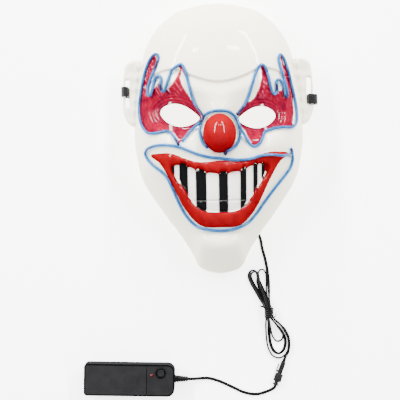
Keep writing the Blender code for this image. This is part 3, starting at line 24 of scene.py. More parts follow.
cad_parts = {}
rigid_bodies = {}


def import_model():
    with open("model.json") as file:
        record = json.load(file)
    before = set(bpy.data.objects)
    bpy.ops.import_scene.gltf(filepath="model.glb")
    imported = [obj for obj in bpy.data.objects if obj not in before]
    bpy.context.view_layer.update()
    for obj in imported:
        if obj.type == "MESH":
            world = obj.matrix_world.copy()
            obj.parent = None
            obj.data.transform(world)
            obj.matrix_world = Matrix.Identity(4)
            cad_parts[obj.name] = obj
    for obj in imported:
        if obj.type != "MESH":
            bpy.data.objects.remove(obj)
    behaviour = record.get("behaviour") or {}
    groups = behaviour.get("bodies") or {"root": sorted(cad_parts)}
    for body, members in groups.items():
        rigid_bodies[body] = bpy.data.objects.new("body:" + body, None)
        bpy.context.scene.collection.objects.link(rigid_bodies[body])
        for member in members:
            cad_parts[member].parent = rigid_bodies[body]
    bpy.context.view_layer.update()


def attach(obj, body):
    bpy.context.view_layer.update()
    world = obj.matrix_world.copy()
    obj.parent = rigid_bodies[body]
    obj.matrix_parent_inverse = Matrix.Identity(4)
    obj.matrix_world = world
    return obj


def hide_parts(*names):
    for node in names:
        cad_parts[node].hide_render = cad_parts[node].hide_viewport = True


for leftover in list(bpy.data.objects):
    bpy.data.objects.remove(leftover, do_unlink=True)
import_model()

LOG = logging.getLogger("clown_mask")
Array = np.ndarray
Colour = tuple[float, float, float]
Table = Sequence[Sequence[float]]
MM = 0.001
OFF = -20.0  # paint distance, in mm, where a paint can't reach

# Driving sizes that several pieces share, in metres
HALF_HEIGHT, HALF_WIDTH = 0.141, 0.0875
EAR_ROOT, EAR_REACH = 0.076, 0.0225
SLOT_WIDTH, SLOT_STRIP = 0.0047, 0.0028
FLOOR_GAP = 0.0003

# Half outline of the face: up, across
FACE_OUTLINE = (
    (1.000, 0.000), (0.986, 0.217), (0.935, 0.490), (0.861, 0.643), (0.788, 0.744),
    (0.715, 0.815), (0.642, 0.865), (0.569, 0.897), (0.423, 0.938), (0.276, 0.968),
    (0.130, 0.989), (0.020, 0.998), (-0.089, 0.986), (-0.163, 0.965), (-0.236, 0.944),
    (-0.309, 0.903), (-0.382, 0.841), (-0.455, 0.765), (-0.528, 0.685), (-0.602, 0.602),
    (-0.675, 0.511), (-0.748, 0.434), (-0.821, 0.360), (-0.894, 0.304), (-0.931, 0.278),
    (-0.967, 0.218), (-1.000, 0.000),
)

# Long profile of the face: up, share of the face depth
PROFILE = (
    (-1.0, 0.80), (-0.8, 0.86), (-0.65, 0.84), (-0.4, 0.97), (-0.1, 1.00), (0.15, 0.95),
    (0.30, 0.96), (0.50, 1.00), (0.75, 1.00), (1.0, 0.95),
)

# Crease under the forehead: across, up
CREASE = (
    (-1.00, 0.36), (-0.80, 0.42), (-0.62, 0.465), (-0.45, 0.465), (-0.30, 0.42),
    (0.00, 0.376), (0.30, 0.42), (0.45, 0.465), (0.62, 0.465), (0.80, 0.42), (1.00, 0.36),
)

# Eye holes: side, centre across, centre up, then as shares of the half width and the half
# height: length, height, fall of the inner tip
EYES = (
    (-1, -0.452, 0.150, 0.457, 0.162, 0.043),
    (1, 0.435, 0.126, 0.434, 0.157, 0.023),
)

# Edge of an eye hole: share of its length from the outer end, share of half its height
EYE_EDGE = (
    (0.00, 0.00), (0.04, 0.42), (0.14, 0.72), (0.28, 0.93), (0.44, 1.00), (0.60, 0.92),
    (0.76, 0.68), (0.90, 0.36), (1.00, 0.00), (0.96, -0.26), (0.84, -0.58), (0.68, -0.86),
    (0.50, -1.00), (0.32, -0.92), (0.16, -0.66), (0.05, -0.32),
)

# Outer edge of the lips: share of the mouth's half width, up along the top, along the bottom
LIP_OUTER = (
    (0.000, -0.179, -0.652), (0.286, -0.188, -0.638), (0.500, -0.160, -0.528),
    (0.690, -0.123, -0.342), (0.857, -0.120, -0.193), (1.000, -0.130, -0.130),
)

# Inner edge of the lips: share of the teeth's half width, up along the top, along the bottom
LIP_INNER = (
    (0.000, -0.275, -0.546), (0.412, -0.257, -0.526), (0.721, -0.216, -0.410),
    (1.000, -0.216, -0.216),
)

# Teeth: start as a share of the teeth's half width, dark or light
TEETH = (
    (-1.025, "dark"), (-0.945, "light"), (-0.840, "dark"), (-0.665, "light"),
    (-0.502, "dark"), (-0.285, "light"), (-0.030, "dark"), (0.157, "light"),
    (0.413, "dark"), (0.537, "light"), (0.680, "dark"), (0.770, "light"),
    (0.855, "dark"), (0.930, "light"),
)

# Outline of an ear: share of its reach, share of its height
EAR_EDGE = (
    (0.18, 0.995), (0.53, 1.00), (0.80, 0.95), (0.93, 0.80), (0.98, 0.57), (1.00, 0.34),
    (0.98, 0.22), (0.85, 0.11), (0.67, 0.03), (0.47, 0.00),
)

# Routes of the glow wires on the face, live end first: across, up, lift (1 rides over a wire)
WIRE_LEFT_EYE = (
    (-0.467, -0.061, 0), (-0.495, -0.029, 0), (-0.521, -0.001, 0), (-0.556, 0.025, 0),
    (-0.608, 0.037, 0), (-0.696, 0.028, 0), (-0.760, 0.024, 0), (-0.823, 0.031, 0),
    (-0.876, 0.069, 0), (-0.914, 0.127, 0), (-0.926, 0.213, 0), (-0.914, 0.284, 0),
    (-0.891, 0.362, 0), (-0.860, 0.446, 0), (-0.824, 0.510, 0), (-0.784, 0.558, 0),
    (-0.735, 0.588, 0), (-0.699, 0.587, 0), (-0.684, 0.564, 0), (-0.700, 0.528, 0),
    (-0.740, 0.469, 0), (-0.781, 0.412, 0), (-0.812, 0.360, 0), (-0.819, 0.314, 0),
    (-0.792, 0.294, 0), (-0.769, 0.322, 0), (-0.746, 0.377, 0), (-0.714, 0.419, 0),
    (-0.676, 0.429, 0), (-0.653, 0.405, 0), (-0.668, 0.366, 0), (-0.656, 0.329, 0),
    (-0.627, 0.318, 0), (-0.600, 0.349, 0), (-0.570, 0.404, 0), (-0.527, 0.465, 0),
    (-0.476, 0.490, 0), (-0.421, 0.501, 0), (-0.383, 0.461, 0), (-0.351, 0.390, 0),
    (-0.326, 0.322, 0), (-0.299, 0.262, 0), (-0.262, 0.206, 0.4), (-0.207, 0.156, 1.5),
    (-0.184, 0.122, 1.8), (-0.233, 0.087, 1.3), (-0.300, 0.052, 0.3), (-0.365, 0.005, 0),
    (-0.424, -0.039, 0),
)
WIRE_RIGHT_EYE = (
    (0.207, 0.151, 0), (0.245, 0.174, 0), (0.289, 0.211, 0), (0.325, 0.253, 0),
    (0.351, 0.293, 0), (0.391, 0.374, 0), (0.430, 0.444, 0), (0.465, 0.481, 0),
    (0.495, 0.492, 0), (0.529, 0.477, 0), (0.561, 0.424, 0), (0.586, 0.354, 0),
    (0.611, 0.305, 0), (0.639, 0.286, 0), (0.665, 0.303, 0), (0.667, 0.341, 0),
    (0.660, 0.375, 0), (0.684, 0.390, 0), (0.723, 0.377, 0), (0.753, 0.337, 0),
    (0.765, 0.288, 0), (0.782, 0.264, 0), (0.794, 0.292, 0), (0.782, 0.338, 0),
    (0.748, 0.412, 0), (0.712, 0.484, 0), (0.697, 0.542, 0), (0.717, 0.573, 0),
    (0.755, 0.550, 0), (0.801, 0.473, 0), (0.840, 0.382, 0), (0.873, 0.293, 0),
    (0.899, 0.212, 0), (0.907, 0.136, 0), (0.887, 0.080, 0), (0.834, 0.056, 0),
    (0.735, 0.055, 0), (0.635, 0.047, 0), (0.548, 0.030, 0), (0.507, 0.013, 0),
    (0.484, -0.029, 0), (0.445, -0.067, 0), (0.397, -0.084, 0), (0.354, -0.074, 0),
    (0.309, -0.035, 0.3), (0.272, 0.007, 1.2), (0.239, 0.047, 1.6), (0.214, 0.088, 1.6),
    (0.206, 0.118, 1.5),
)
WIRE_NOSE = (
    (0.052, -0.121, 0), (0.108, -0.109, 0), (0.174, -0.082, 0), (0.220, -0.036, 0),
    (0.234, 0.016, 0), (0.218, 0.080, 0), (0.179, 0.129, 0), (0.113, 0.160, 0),
    (0.015, 0.170, 0), (-0.086, 0.164, 0), (-0.159, 0.144, 0), (-0.203, 0.106, 0),
    (-0.223, 0.053, 0), (-0.217, -0.005, 0), (-0.186, -0.061, 0), (-0.138, -0.090, 0),
)
WIRE_MOUTH = (
    (0.796, -0.143, 0), (0.712, -0.150, 0), (0.587, -0.144, 0), (0.466, -0.150, 0),
    (0.348, -0.171, 0), (0.229, -0.178, 0), (0.110, -0.172, 0), (-0.008, -0.163, 0),
    (-0.128, -0.154, 0), (-0.237, -0.136, 0), (-0.338, -0.111, 0), (-0.442, -0.084, 0),
    (-0.529, -0.070, 0), (-0.643, -0.063, 0), (-0.761, -0.069, 0), (-0.834, -0.088, 0),
    (-0.857, -0.118, 0), (-0.823, -0.164, 0), (-0.751, -0.211, 0), (-0.669, -0.250, 0),
    (-0.602, -0.299, 0), (-0.547, -0.372, 0), (-0.477, -0.476, 0), (-0.419, -0.546, 0),
    (-0.350, -0.604, 0), (-0.260, -0.648, 0), (-0.136, -0.669, 0), (-0.016, -0.676, 0),
    (0.105, -0.672, 0), (0.233, -0.650, 0), (0.329, -0.617, 0), (0.410, -0.563, 0),
    (0.512, -0.476, 0), (0.636, -0.375, 0), (0.738, -0.299, 0), (0.813, -0.237, 0),
    (0.844, -0.178, 0), (0.837, -0.132, 0), (0.824, -0.098, 0),
)


# Bare or streaked areas inside the eye wires, where no paint was put: across, up
BARE_LEFT = (
    ((-0.42, 0.463), (-0.35, 0.363), (-0.29, 0.273), (-0.24, 0.182), (-0.28, 0.225), (-0.36, 0.302),
     (-0.42, 0.365), (-0.43, 0.422)),
    ((-0.46, 0.489), (-0.53, 0.468), (-0.57, 0.412), (-0.59, 0.343), (-0.57, 0.343), (-0.51, 0.382),
     (-0.47, 0.423), (-0.44, 0.471)),
    ((-0.68, 0.418), (-0.72, 0.405), (-0.76, 0.350), (-0.73, 0.349), (-0.70, 0.375), (-0.67, 0.395),
     (-0.66, 0.409)),
    ((-0.59, 0.038), (-0.53, 0.029), (-0.48, -0.015), (-0.45, -0.037), (-0.49, -0.025), (-0.54, 0.018)),
    ((-0.33, 0.034), (-0.38, -0.002), (-0.43, -0.034), (-0.425, -0.027), (-0.38, 0.007),
     (-0.345, 0.036)),
)
BARE_RIGHT = (
    ((0.47, 0.483), (0.42, 0.413), (0.38, 0.329), (0.34, 0.233), (0.39, 0.254), (0.45, 0.316),
     (0.48, 0.384), (0.49, 0.456)),
    ((0.66, 0.380), (0.72, 0.368), (0.73, 0.320), (0.70, 0.312), (0.67, 0.346), (0.64, 0.359)),
    ((0.72, 0.590), (0.68, 0.545), (0.70, 0.478), (0.74, 0.398), (0.78, 0.318), (0.795, 0.325),
     (0.775, 0.398), (0.735, 0.482), (0.715, 0.560)),
    ((0.88, 0.313), (0.90, 0.249), (0.90, 0.162), (0.87, 0.073), (0.85, 0.080), (0.87, 0.168),
     (0.86, 0.247)),
    ((0.28, 0.030), (0.32, -0.018), (0.36, -0.058), (0.345, -0.062), (0.30, -0.010), (0.265, 0.030)),
)


@dataclass(frozen=True)
class Wire:
    """One glow wire: its route, its place in the splice, its inner tail, its dark stretches."""

    node: str
    route: Table
    place: tuple[int, int]
    tail: Table
    dark: Table  # across, up, reach in millimetres

    @property
    def name(self) -> str:
        """Name of the wire's detailed piece."""
        return self.node.replace("wire", "glow_wire")


WIRES = (
    Wire("wire_left_eye", WIRE_LEFT_EYE, (1, 1), ((-0.30, -0.20), (0.05, -0.36)),
         ((-0.235, 0.150, 8.5), (-0.475, -0.050, 5.0), (-0.715, 0.510, 5.0), (-0.660, 0.345, 3.2))),
    Wire("wire_right_eye", WIRE_RIGHT_EYE, (-1, 1), ((0.205, 0.00), (0.38, -0.24)),
         ((0.235, 0.165, 6.5), (0.665, 0.335, 3.2), (0.782, 0.270, 2.5))),
    Wire("wire_nose", WIRE_NOSE, (1, -1), ((0.12, -0.24), (0.20, -0.38)),
         ((0.052, -0.121, 4.5), (-0.138, -0.090, 3.0))),
    Wire("wire_mouth", WIRE_MOUTH, (-1, -1), ((0.64, -0.20), (0.50, -0.38)),
         ((0.824, -0.098, 3.0),)),
)

# Lead on the plane, in metres: x, y, height of its axis above its resting height
LEAD_ROUTE = (
    (0.0355, -0.0900, 0.0150), (0.0376, -0.0955, 0.0040), (0.0400, -0.1005, 0.0004),
    (0.0422, -0.1065, 0.0), (0.0440, -0.1164, 0.0), (0.0469, -0.1280, 0.0),
    (0.0492, -0.1416, 0.0), (0.0500, -0.1540, 0.0),
)

# Hank, in millimetres: x, y, and the height of the cable's axis before Lead.layer spreads
# the levels of 1.4, 4.15 and 6.9, so that runs that cross lie over one another.
HANK_IN = ((50.2, -163.0, 1.0), (50.6, -171.0, 1.4), (52.0, -179.0, 1.4), (52.6, -185.2, 1.4))
LOWER_OUTER = (
    (56.0, -191.0, 1.4), (61.5, -196.5, 1.4), (67.0, -203.5, 1.4), (70.0, -212.0, 1.4),
    (69.6, -220.0, 1.4), (66.5, -227.0, 1.4), (60.0, -230.8, 1.4), (52.8, -228.2, 1.4),
    (48.2, -219.5, 1.4), (46.6, -208.0, 1.4), (46.2, -197.0, 1.4), (46.8, -185.2, 1.4),
)
UPPER_FOLD = (
    (45.4, -178.0, 1.4), (40.9, -168.5, 1.4), (35.4, -158.5, 1.4), (31.0, -150.0, 1.4),
    (29.4, -144.2, 1.4), (30.7, -140.0, 1.4), (34.0, -138.6, 1.4), (37.3, -140.6, 1.4),
    (38.8, -145.0, 1.4), (40.3, -150.5, 1.4), (44.6, -160.5, 1.4), (48.0, -172.0, 1.4),
    (50.1, -179.5, 1.4), (50.5, -185.2, 1.4),
)
LOWER_MIDDLE = (
    (53.2, -190.5, 1.4), (57.6, -196.2, 1.4), (62.6, -202.8, 1.4), (66.2, -210.5, 1.4),
    (66.2, -218.0, 1.4), (63.5, -223.6, 1.4), (59.3, -226.2, 1.4), (54.4, -223.6, 1.4),
    (51.0, -216.0, 1.4), (49.6, -205.0, 1.8), (48.9, -195.0, 3.2), (47.6, -185.2, 4.15),
)
UPPER_SECOND = (
    (46.8, -179.0, 4.15), (43.4, -170.5, 4.15), (38.5, -160.5, 4.15), (33.6, -152.0, 4.15),
    (31.2, -146.2, 4.15), (31.6, -142.4, 4.15), (34.9, -140.0, 4.15), (38.3, -141.6, 4.15),
    (39.0, -145.6, 4.15), (38.3, -150.5, 4.15), (41.6, -160.5, 4.15), (46.3, -172.5, 4.15),
    (48.7, -179.5, 4.15), (49.6, -185.2, 4.15),
)
LOWER_INNER = (
    (52.0, -189.5, 4.15), (56.5, -194.5, 4.15), (61.0, -200.5, 4.15), (63.8, -206.5, 3.2),
    (62.5, -211.8, 1.7), (57.8, -213.3, 1.4), (53.6, -209.0, 1.8), (51.2, -200.0, 3.8),
    (49.8, -192.0, 6.2), (48.7, -185.2, 6.9),
)
UPPER_THIN = (
    (48.0, -178.0, 6.9), (45.8, -168.0, 6.9), (42.0, -158.0, 6.9), (39.0, -149.0, 6.9),
    (38.6, -142.6, 6.8), (40.6, -138.4, 4.9), (44.2, -138.0, 2.4), (46.9, -141.5, 1.5),
    (47.6, -149.0, 1.4), (47.4, -160.0, 1.6), (48.8, -170.0, 3.4), (51.2, -179.0, 4.15),
    (52.6, -185.2, 4.15),
)
HANK_OUT = (
    (54.6, -189.0, 4.15), (60.3, -194.5, 4.15), (66.2, -202.0, 4.15), (69.6, -210.0, 4.15),
    (70.0, -218.0, 4.15), (68.4, -225.5, 4.15),
)
HANK = (HANK_IN, LOWER_OUTER, UPPER_FOLD, LOWER_MIDDLE, UPPER_SECOND, LOWER_INNER, UPPER_THIN, HANK_OUT)
# Runs whose straight legs lie flat, and the y of the tied waist, where they stand on edge
LAID_FLAT = (UPPER_FOLD, LOWER_MIDDLE, UPPER_SECOND, HANK_OUT)
WAIST_Y = -0.1852

# Case's lead on the plane, in metres: x, y, height above its resting height
CASE_LEAD_ROUTE = (
    (0.0522, -0.2632, 0.0006), (0.0464, -0.2659, 0.0), (0.0350, -0.2686, 0.0),
    (0.0229, -0.2666, 0.0), (0.0108, -0.2610, 0.0), (-0.0030, -0.2545, 0.0),
    (-0.0143, -0.2510, 0.0006), (-0.0257, -0.2508, 0.0022),
)


def ease(t: Array) -> Array:
    """Return 0 below 0, 1 above 1 and a smooth step between."""
    t = np.clip(t, 0.0, 1.0)
    return t * t * (3.0 - 2.0 * t)


def evenly(line: Array, count: int, closed: bool) -> Array:
    """Space points evenly along a polyline.

    Args:
        line: Points of the polyline.
        count: How many points to return.
        closed: Whether the line runs back to its start.

    Returns:
        The evenly spaced points.
    """
    line = np.asarray(line, float)
    if closed:
        line = np.vstack([line, line[:1]])
    steps = np.linalg.norm(np.diff(line, axis=0), axis=1)
    along = np.concatenate([[0.0], np.cumsum(steps)])
    at = np.linspace(0.0, along[-1], count, endpoint=not closed)
    return np.column_stack([np.interp(at, along, column) for column in line.T])


def smooth_through(points: Table, count: int, closed: bool) -> Array:
    """Run a smooth curve (centripetal spline) through points.

    Args:
        points: Knots of the curve, in any dimension.
        count: How many evenly spaced points to return.
        closed: Whether the curve is a loop.

    Returns:
        Points on the curve.
    """
    pts = np.asarray(points, float)
    total = len(pts)
    dense = []
    for i in range(total if closed else total - 1):
        b, c = pts[i], pts[(i + 1) % total]
        a = pts[i - 1] if closed or i else 2 * b - c
        d = pts[(i + 2) % total] if closed or i + 2 < total else 2 * c - b
        ab, bc, cd = (max(np.linalg.norm(q - p), 1e-9) ** 0.5 for p, q in ((a, b), (b, c), (c, d)))
        start = ((b - a) / ab - (c - a) / (ab + bc) + (c - b) / bc) * bc
        end = ((c - b) / bc - (d - b) / (bc + cd) + (d - c) / cd) * bc
        for t in np.linspace(0.0, 1.0, 12, endpoint=False):
            dense.append(
                (2 * t**3 - 3 * t**2 + 1) * b + (t**3 - 2 * t**2 + t) * start
                + (3 * t**2 - 2 * t**3) * c + (t**3 - t**2) * end
            )
    if not closed:
        dense.append(pts[-1])
    return evenly(np.array(dense), count, closed)


def read_table(table: Table, at: Array) -> Array:
    """Read a two-column table smoothly, held at its ends.

    Args:
        table: Rows of key and value.
        at: Keys to read.

    Returns:
        The values there.
    """
    keys, values = np.array(table, float).T
    slopes = np.gradient(values, keys)
    at = np.clip(at, keys[0], keys[-1])
    i = np.clip(np.searchsorted(keys, at, side="right") - 1, 0, len(keys) - 2)
    span = keys[i + 1] - keys[i]
    t = (at - keys[i]) / span
    return (
        (2 * t**3 - 3 * t**2 + 1) * values[i] + (t**3 - 2 * t**2 + t) * span * slopes[i]
        + (3 * t**2 - 2 * t**3) * values[i + 1] + (t**3 - t**2) * span * slopes[i + 1]
    )


def line_distance(x: Array, y: Array, line: Array, closed: bool) -> Array:
    """Measure the distance from plan points to a polyline.

    Args:
        x: Plan x of the points.
        y: Plan y of the points.
        line: The polyline's points.
        closed: Whether it runs back to its start.

    Returns:
        The distances, in the shape of x.
    """
    start = line if closed else line[:-1]
    end = np.roll(line, -1, axis=0) if closed else line[1:]
    edge = end - start
    size = (edge**2).sum(axis=1)
    px, py = np.ravel(x), np.ravel(y)
    result = np.empty(len(px))
    for first in range(0, len(px), 6000):
        wx = px[first:first + 6000, None] - start[:, 0]
        wy = py[first:first + 6000, None] - start[:, 1]
        t = np.clip((wx * edge[:, 0] + wy * edge[:, 1]) / size, 0.0, 1.0)
        gap = (wx - t * edge[:, 0]) ** 2 + (wy - t * edge[:, 1]) ** 2
        result[first:first + 6000] = np.sqrt(gap.min(axis=1))
    return result.reshape(np.shape(x))


def inside_distance(x: Array, y: Array, loop: Array) -> Array:
    """Measure the distance to a closed plan loop, positive inside it.

    Args:
        x: Plan x of the points.
        y: Plan y of the points.
        loop: The loop's points.

    Returns:
        The signed distances, in the shape of x.
    """
    gap = line_distance(x, y, loop, True).ravel()
    end = np.roll(loop, -1, axis=0)
    rise = np.where(end[:, 1] == loop[:, 1], 1e-18, end[:, 1] - loop[:, 1])
    px, py = np.ravel(x), np.ravel(y)
    inside = np.empty(len(px), bool)
    for first in range(0, len(px), 6000):
        qx, qy = px[first:first + 6000, None], py[first:first + 6000, None]
        spans = (loop[:, 1] > qy) != (end[:, 1] > qy)
        cross = loop[:, 0] + (qy - loop[:, 1]) * (end[:, 0] - loop[:, 0]) / rise
        inside[first:first + 6000] = (spans & (qx < cross)).sum(axis=1) % 2 == 1
    return np.where(inside, gap, -gap).reshape(np.shape(x))


def new_mesh(name: str, verts: Sequence, faces: Sequence, sharp: float = 38.0) -> bpy.types.Mesh:
    """Make a mesh with its faces pointing out, smooth but for its sharp edges.

    Args:
        name: Name of the mesh.
        verts: Its corners.
        faces: Its faces.
        sharp: Angle in degrees above which an edge stays sharp.

    Returns:
        The mesh.
    """
    mesh = bpy.data.meshes.new(name)
    mesh.from_pydata([tuple(map(float, v)) for v in verts], [], [tuple(map(int, f)) for f in faces])
    work = bmesh.new()
    work.from_mesh(mesh)
    bmesh.ops.recalc_face_normals(work, faces=work.faces)
    work.to_mesh(mesh)
    work.free()
    mesh.shade_smooth()
    mesh.set_sharp_from_angle(angle=math.radians(sharp))
    return mesh


def set_attribute(mesh: bpy.types.Mesh, name: str, values: Array) -> None:
    """Store one number per corner of a mesh for the shaders."""
    attribute = mesh.attributes.new(name, "FLOAT", "POINT")
    attribute.data.foreach_set("value", np.asarray(values, np.float32))


def tube(rings: Sequence[Array]) -> tuple[list, list]:
    """Return the corners and faces of a closed tube through rings of equal size."""
    size = len(rings[0])
    faces = []
    for r in range(len(rings) - 1):
        for k in range(size):
            a, b = r * size + k, r * size + (k + 1) % size
            faces.append((a, b, b + size, a + size))
    faces.append(tuple(range(size - 1, -1, -1)))
    faces.append(tuple((len(rings) - 1) * size + k for k in range(size)))
    return list(np.vstack(rings)), faces


def together(parts: Sequence[tuple[list, list]]) -> tuple[list, list]:
    """Put the corners and faces of several closed forms into one."""
    verts, faces = [], []
    for more, these in parts:
        faces += [tuple(len(verts) + i for i in face) for face in these]
        verts += more
    return verts, faces


def sweep(points: Array, profile: Array, rolls: Array, up: Array | None = None) -> tuple[list, list]:
    """Sweep a closed profile along a line, with a domed cap at each end.

    Args:
        points: The line, n by 3.
        profile: The profile across the line, m by 2: sideways and up.
        rolls: Turn of the profile about the line at each point, in radians.
        up: Direction that the profile's up leans to; straight up if left out.

    Returns:
        The corners and faces of the closed tube.
    """
    points = np.asarray(points, float)
    ahead = np.gradient(points, axis=0)
    ahead /= np.linalg.norm(ahead, axis=1, keepdims=True)
    side = np.cross(ahead, (0.0, 0.0, 1.0) if up is None else up)
    side[np.linalg.norm(side, axis=1) < 1e-3] = (1.0, 0.0, 0.0)
    side /= np.linalg.norm(side, axis=1, keepdims=True)
    for k in range(1, len(side)):
        if np.dot(side[k], side[k - 1]) < 0:
            side[k] = -side[k]
    over = np.cross(side, ahead)
    rings = []
    for centre, s, o, roll in zip(points, side, over, rolls):
        c, n = math.cos(roll), math.sin(roll)
        across, above = c * s + n * o, c * o - n * s
        rings.append(centre + profile[:, :1] * across + profile[:, 1:] * above)
    small = 0.55
    reach = float(np.abs(profile).min(axis=0).max() + np.linalg.norm(profile, axis=1).min()) * 0.4
    first = points[0] + (rings[0] - points[0]) * small - ahead[0] * reach
    last = points[-1] + (rings[-1] - points[-1]) * small + ahead[-1] * reach
    return tube([first, *rings, last])


def circle(radius: float, count: int, centre: tuple[float, float] = (0.0, 0.0)) -> Array:
    """Return a closed round profile."""
    turn = np.arange(count) * 2 * math.pi / count
    return np.column_stack([centre[0] + radius * np.cos(turn), centre[1] + radius * np.sin(turn)])


def add_piece(
    name: str,
    mesh: bpy.types.Mesh,
    finish: bpy.types.Material,
    replaces: Sequence[str] = (),
    body: str = "mask",
) -> bpy.types.Object:
    """Link a piece, dress it, and let it ride on its body.

    Args:
        name: The piece's name.
        mesh: Its mesh, in the shared frame.
        finish: Its material.
        replaces: The solids that it stands for.
        body: The body that it moves with.

    Returns:
        The object.
    """
    obj = bpy.data.objects.new(name, mesh)
    bpy.context.scene.collection.objects.link(obj)
    mesh.materials.clear()
    mesh.materials.append(finish)
    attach(obj, body)
    if replaces:
        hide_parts(*replaces)
    LOG.info("%s: %d corners, %d faces, on %s", name, len(mesh.vertices), len(mesh.polygons), body)
    return obj


class Solid:
    """A block shaped by bevels and cuts, turned into a plain mesh when it is done."""

    def __init__(self, name: str, mesh: bpy.types.Mesh) -> None:
        """Start from a closed mesh."""
        self.obj = bpy.data.objects.new(name, mesh)
        bpy.context.scene.collection.objects.link(self.obj)
        self.tools: list[bpy.types.Object] = []

    def bevel(self, width: float, segments: int = 3, angle: float = 40.0) -> Solid:
        """Round the edges and return the block."""
        modifier = self.obj.modifiers.new("edge_round", "BEVEL")
        modifier.width = width
        modifier.segments = segments
        modifier.limit_method = "ANGLE"
        modifier.angle_limit = math.radians(angle)
        return self

    def combine(self, mesh: bpy.types.Mesh, operation: str, bevel: float = 0.0) -> Solid:
        """Join or cut with another closed mesh.

        Args:
            mesh: The other mesh.
            operation: UNION or DIFFERENCE.
            bevel: Edge round of the other mesh first.

        Returns:
            The block.
        """
        tool = bpy.data.objects.new(f"{mesh.name}_tool", mesh)
        bpy.context.scene.collection.objects.link(tool)
        if bevel:
            modifier = tool.modifiers.new("edge_round", "BEVEL")
            modifier.width = bevel
            modifier.segments = 3
        self.tools.append(tool)
        modifier = self.obj.modifiers.new(f"with_{mesh.name}", "BOOLEAN")
        modifier.operation = operation
        modifier.object = tool
        modifier.solver = "EXACT"
        return self

    def done(self, place: Matrix | None = None, sharp: float = 38.0) -> bpy.types.Mesh:
        """Work out the modifiers and place the mesh.

        Args:
            place: Matrix into the shared frame, if the block is built elsewhere.
            sharp: Angle in degrees above which an edge stays sharp.

        Returns:
            The finished mesh.
        """
        bpy.context.view_layer.update()
        graph = bpy.context.evaluated_depsgraph_get()
        mesh = bpy.data.meshes.new_from_object(self.obj.evaluated_get(graph))
        if place is not None:
            mesh.transform(place)
        for obj in [self.obj, *self.tools]:
            bpy.data.objects.remove(obj, do_unlink=True)
        mesh.shade_smooth()
        mesh.set_sharp_from_angle(angle=math.radians(sharp))
        return mesh


def block(name: str, low: Sequence[float], high: Sequence[float]) -> bpy.types.Mesh:
    """Return a closed box mesh between two corners."""
    verts = [(x, y, z) for z in (low[2], high[2]) for y in (low[1], high[1]) for x in (low[0], high[0])]
    faces = [(0, 2, 3, 1), (4, 5, 7, 6), (0, 1, 5, 4), (2, 6, 7, 3), (0, 4, 6, 2), (1, 3, 7, 5)]
    return new_mesh(name, verts, faces)


def bar(name: str, along: Sequence[float], half: float, up: Sequence[float]) -> bpy.types.Mesh:
    """Return a closed box mesh that is the same to both sides of y = 0."""
    return block(name, (along[0], -half, up[0]), (along[1], half, up[1]))


def rounded(half_x: float, half_y: float, radius: float) -> list[tuple[float, float]]:
    """Return the loop of a rectangle about its middle, its corners rounded."""
    loop = []
    for sx, sy, turn in ((1, 1, 0), (-1, 1, 90), (-1, -1, 180), (1, -1, 270)):
        for angle in np.radians(np.arange(turn, turn + 91, 15)):
            loop.append((sx * (half_x - radius) + radius * math.cos(angle),
                         sy * (half_y - radius) + radius * math.sin(angle)))
    return loop


def wall_faces(loops: Sequence[Array], second: int) -> list[tuple[int, ...]]:
    """Wall between each loop's points and the same points of a sheet that starts at second."""
    faces, first = [], 0
    for loop in loops:
        for i in range(len(loop)):
            a, b = first + i, first + (i + 1) % len(loop)
            faces.append((a, second + a, second + b, b))
        first += len(loop)
    return faces


def prism(name: str, loop: Array, low: float, high: float) -> bpy.types.Mesh:
    """Return a straight extrusion of a plan loop between two heights."""
    size = len(loop)
    verts = [(x, y, z) for z in (low, high) for x, y in loop]
    faces = [tuple(range(size - 1, -1, -1)), tuple(range(size, 2 * size))]
    faces += [(i, (i + 1) % size, size + (i + 1) % size, size + i) for i in range(size)]
    return new_mesh(name, verts, faces)


def lathe(name: str, profile: Table, count: int, closed: bool = False) -> bpy.types.Mesh:
    """Turn a profile of radius and height about +Z.

    Args:
        name: Name of the mesh.
        profile: Rows of radius and height; a closed one makes a ring.
        count: Steps round the axis.
        closed: Whether the profile is a ring's section.

    Returns:
        The closed mesh.
    """
    rows = list(profile)
    verts, faces = [], []
    for radius, z in rows:
        verts += [(x, y, z) for x, y in circle(radius, count)]
    last = len(rows) if closed else len(rows) - 1
    for r in range(last):
        for i in range(count):
            j = (i + 1) % count
            a, b = r * count, (r + 1) % len(rows) * count
            faces.append((a + i, a + j, b + j, b + i))
    if not closed:
        faces.append(tuple(range(count - 1, -1, -1)))
        faces.append(tuple((len(rows) - 1) * count + i for i in range(count)))
    return new_mesh(name, verts, faces)


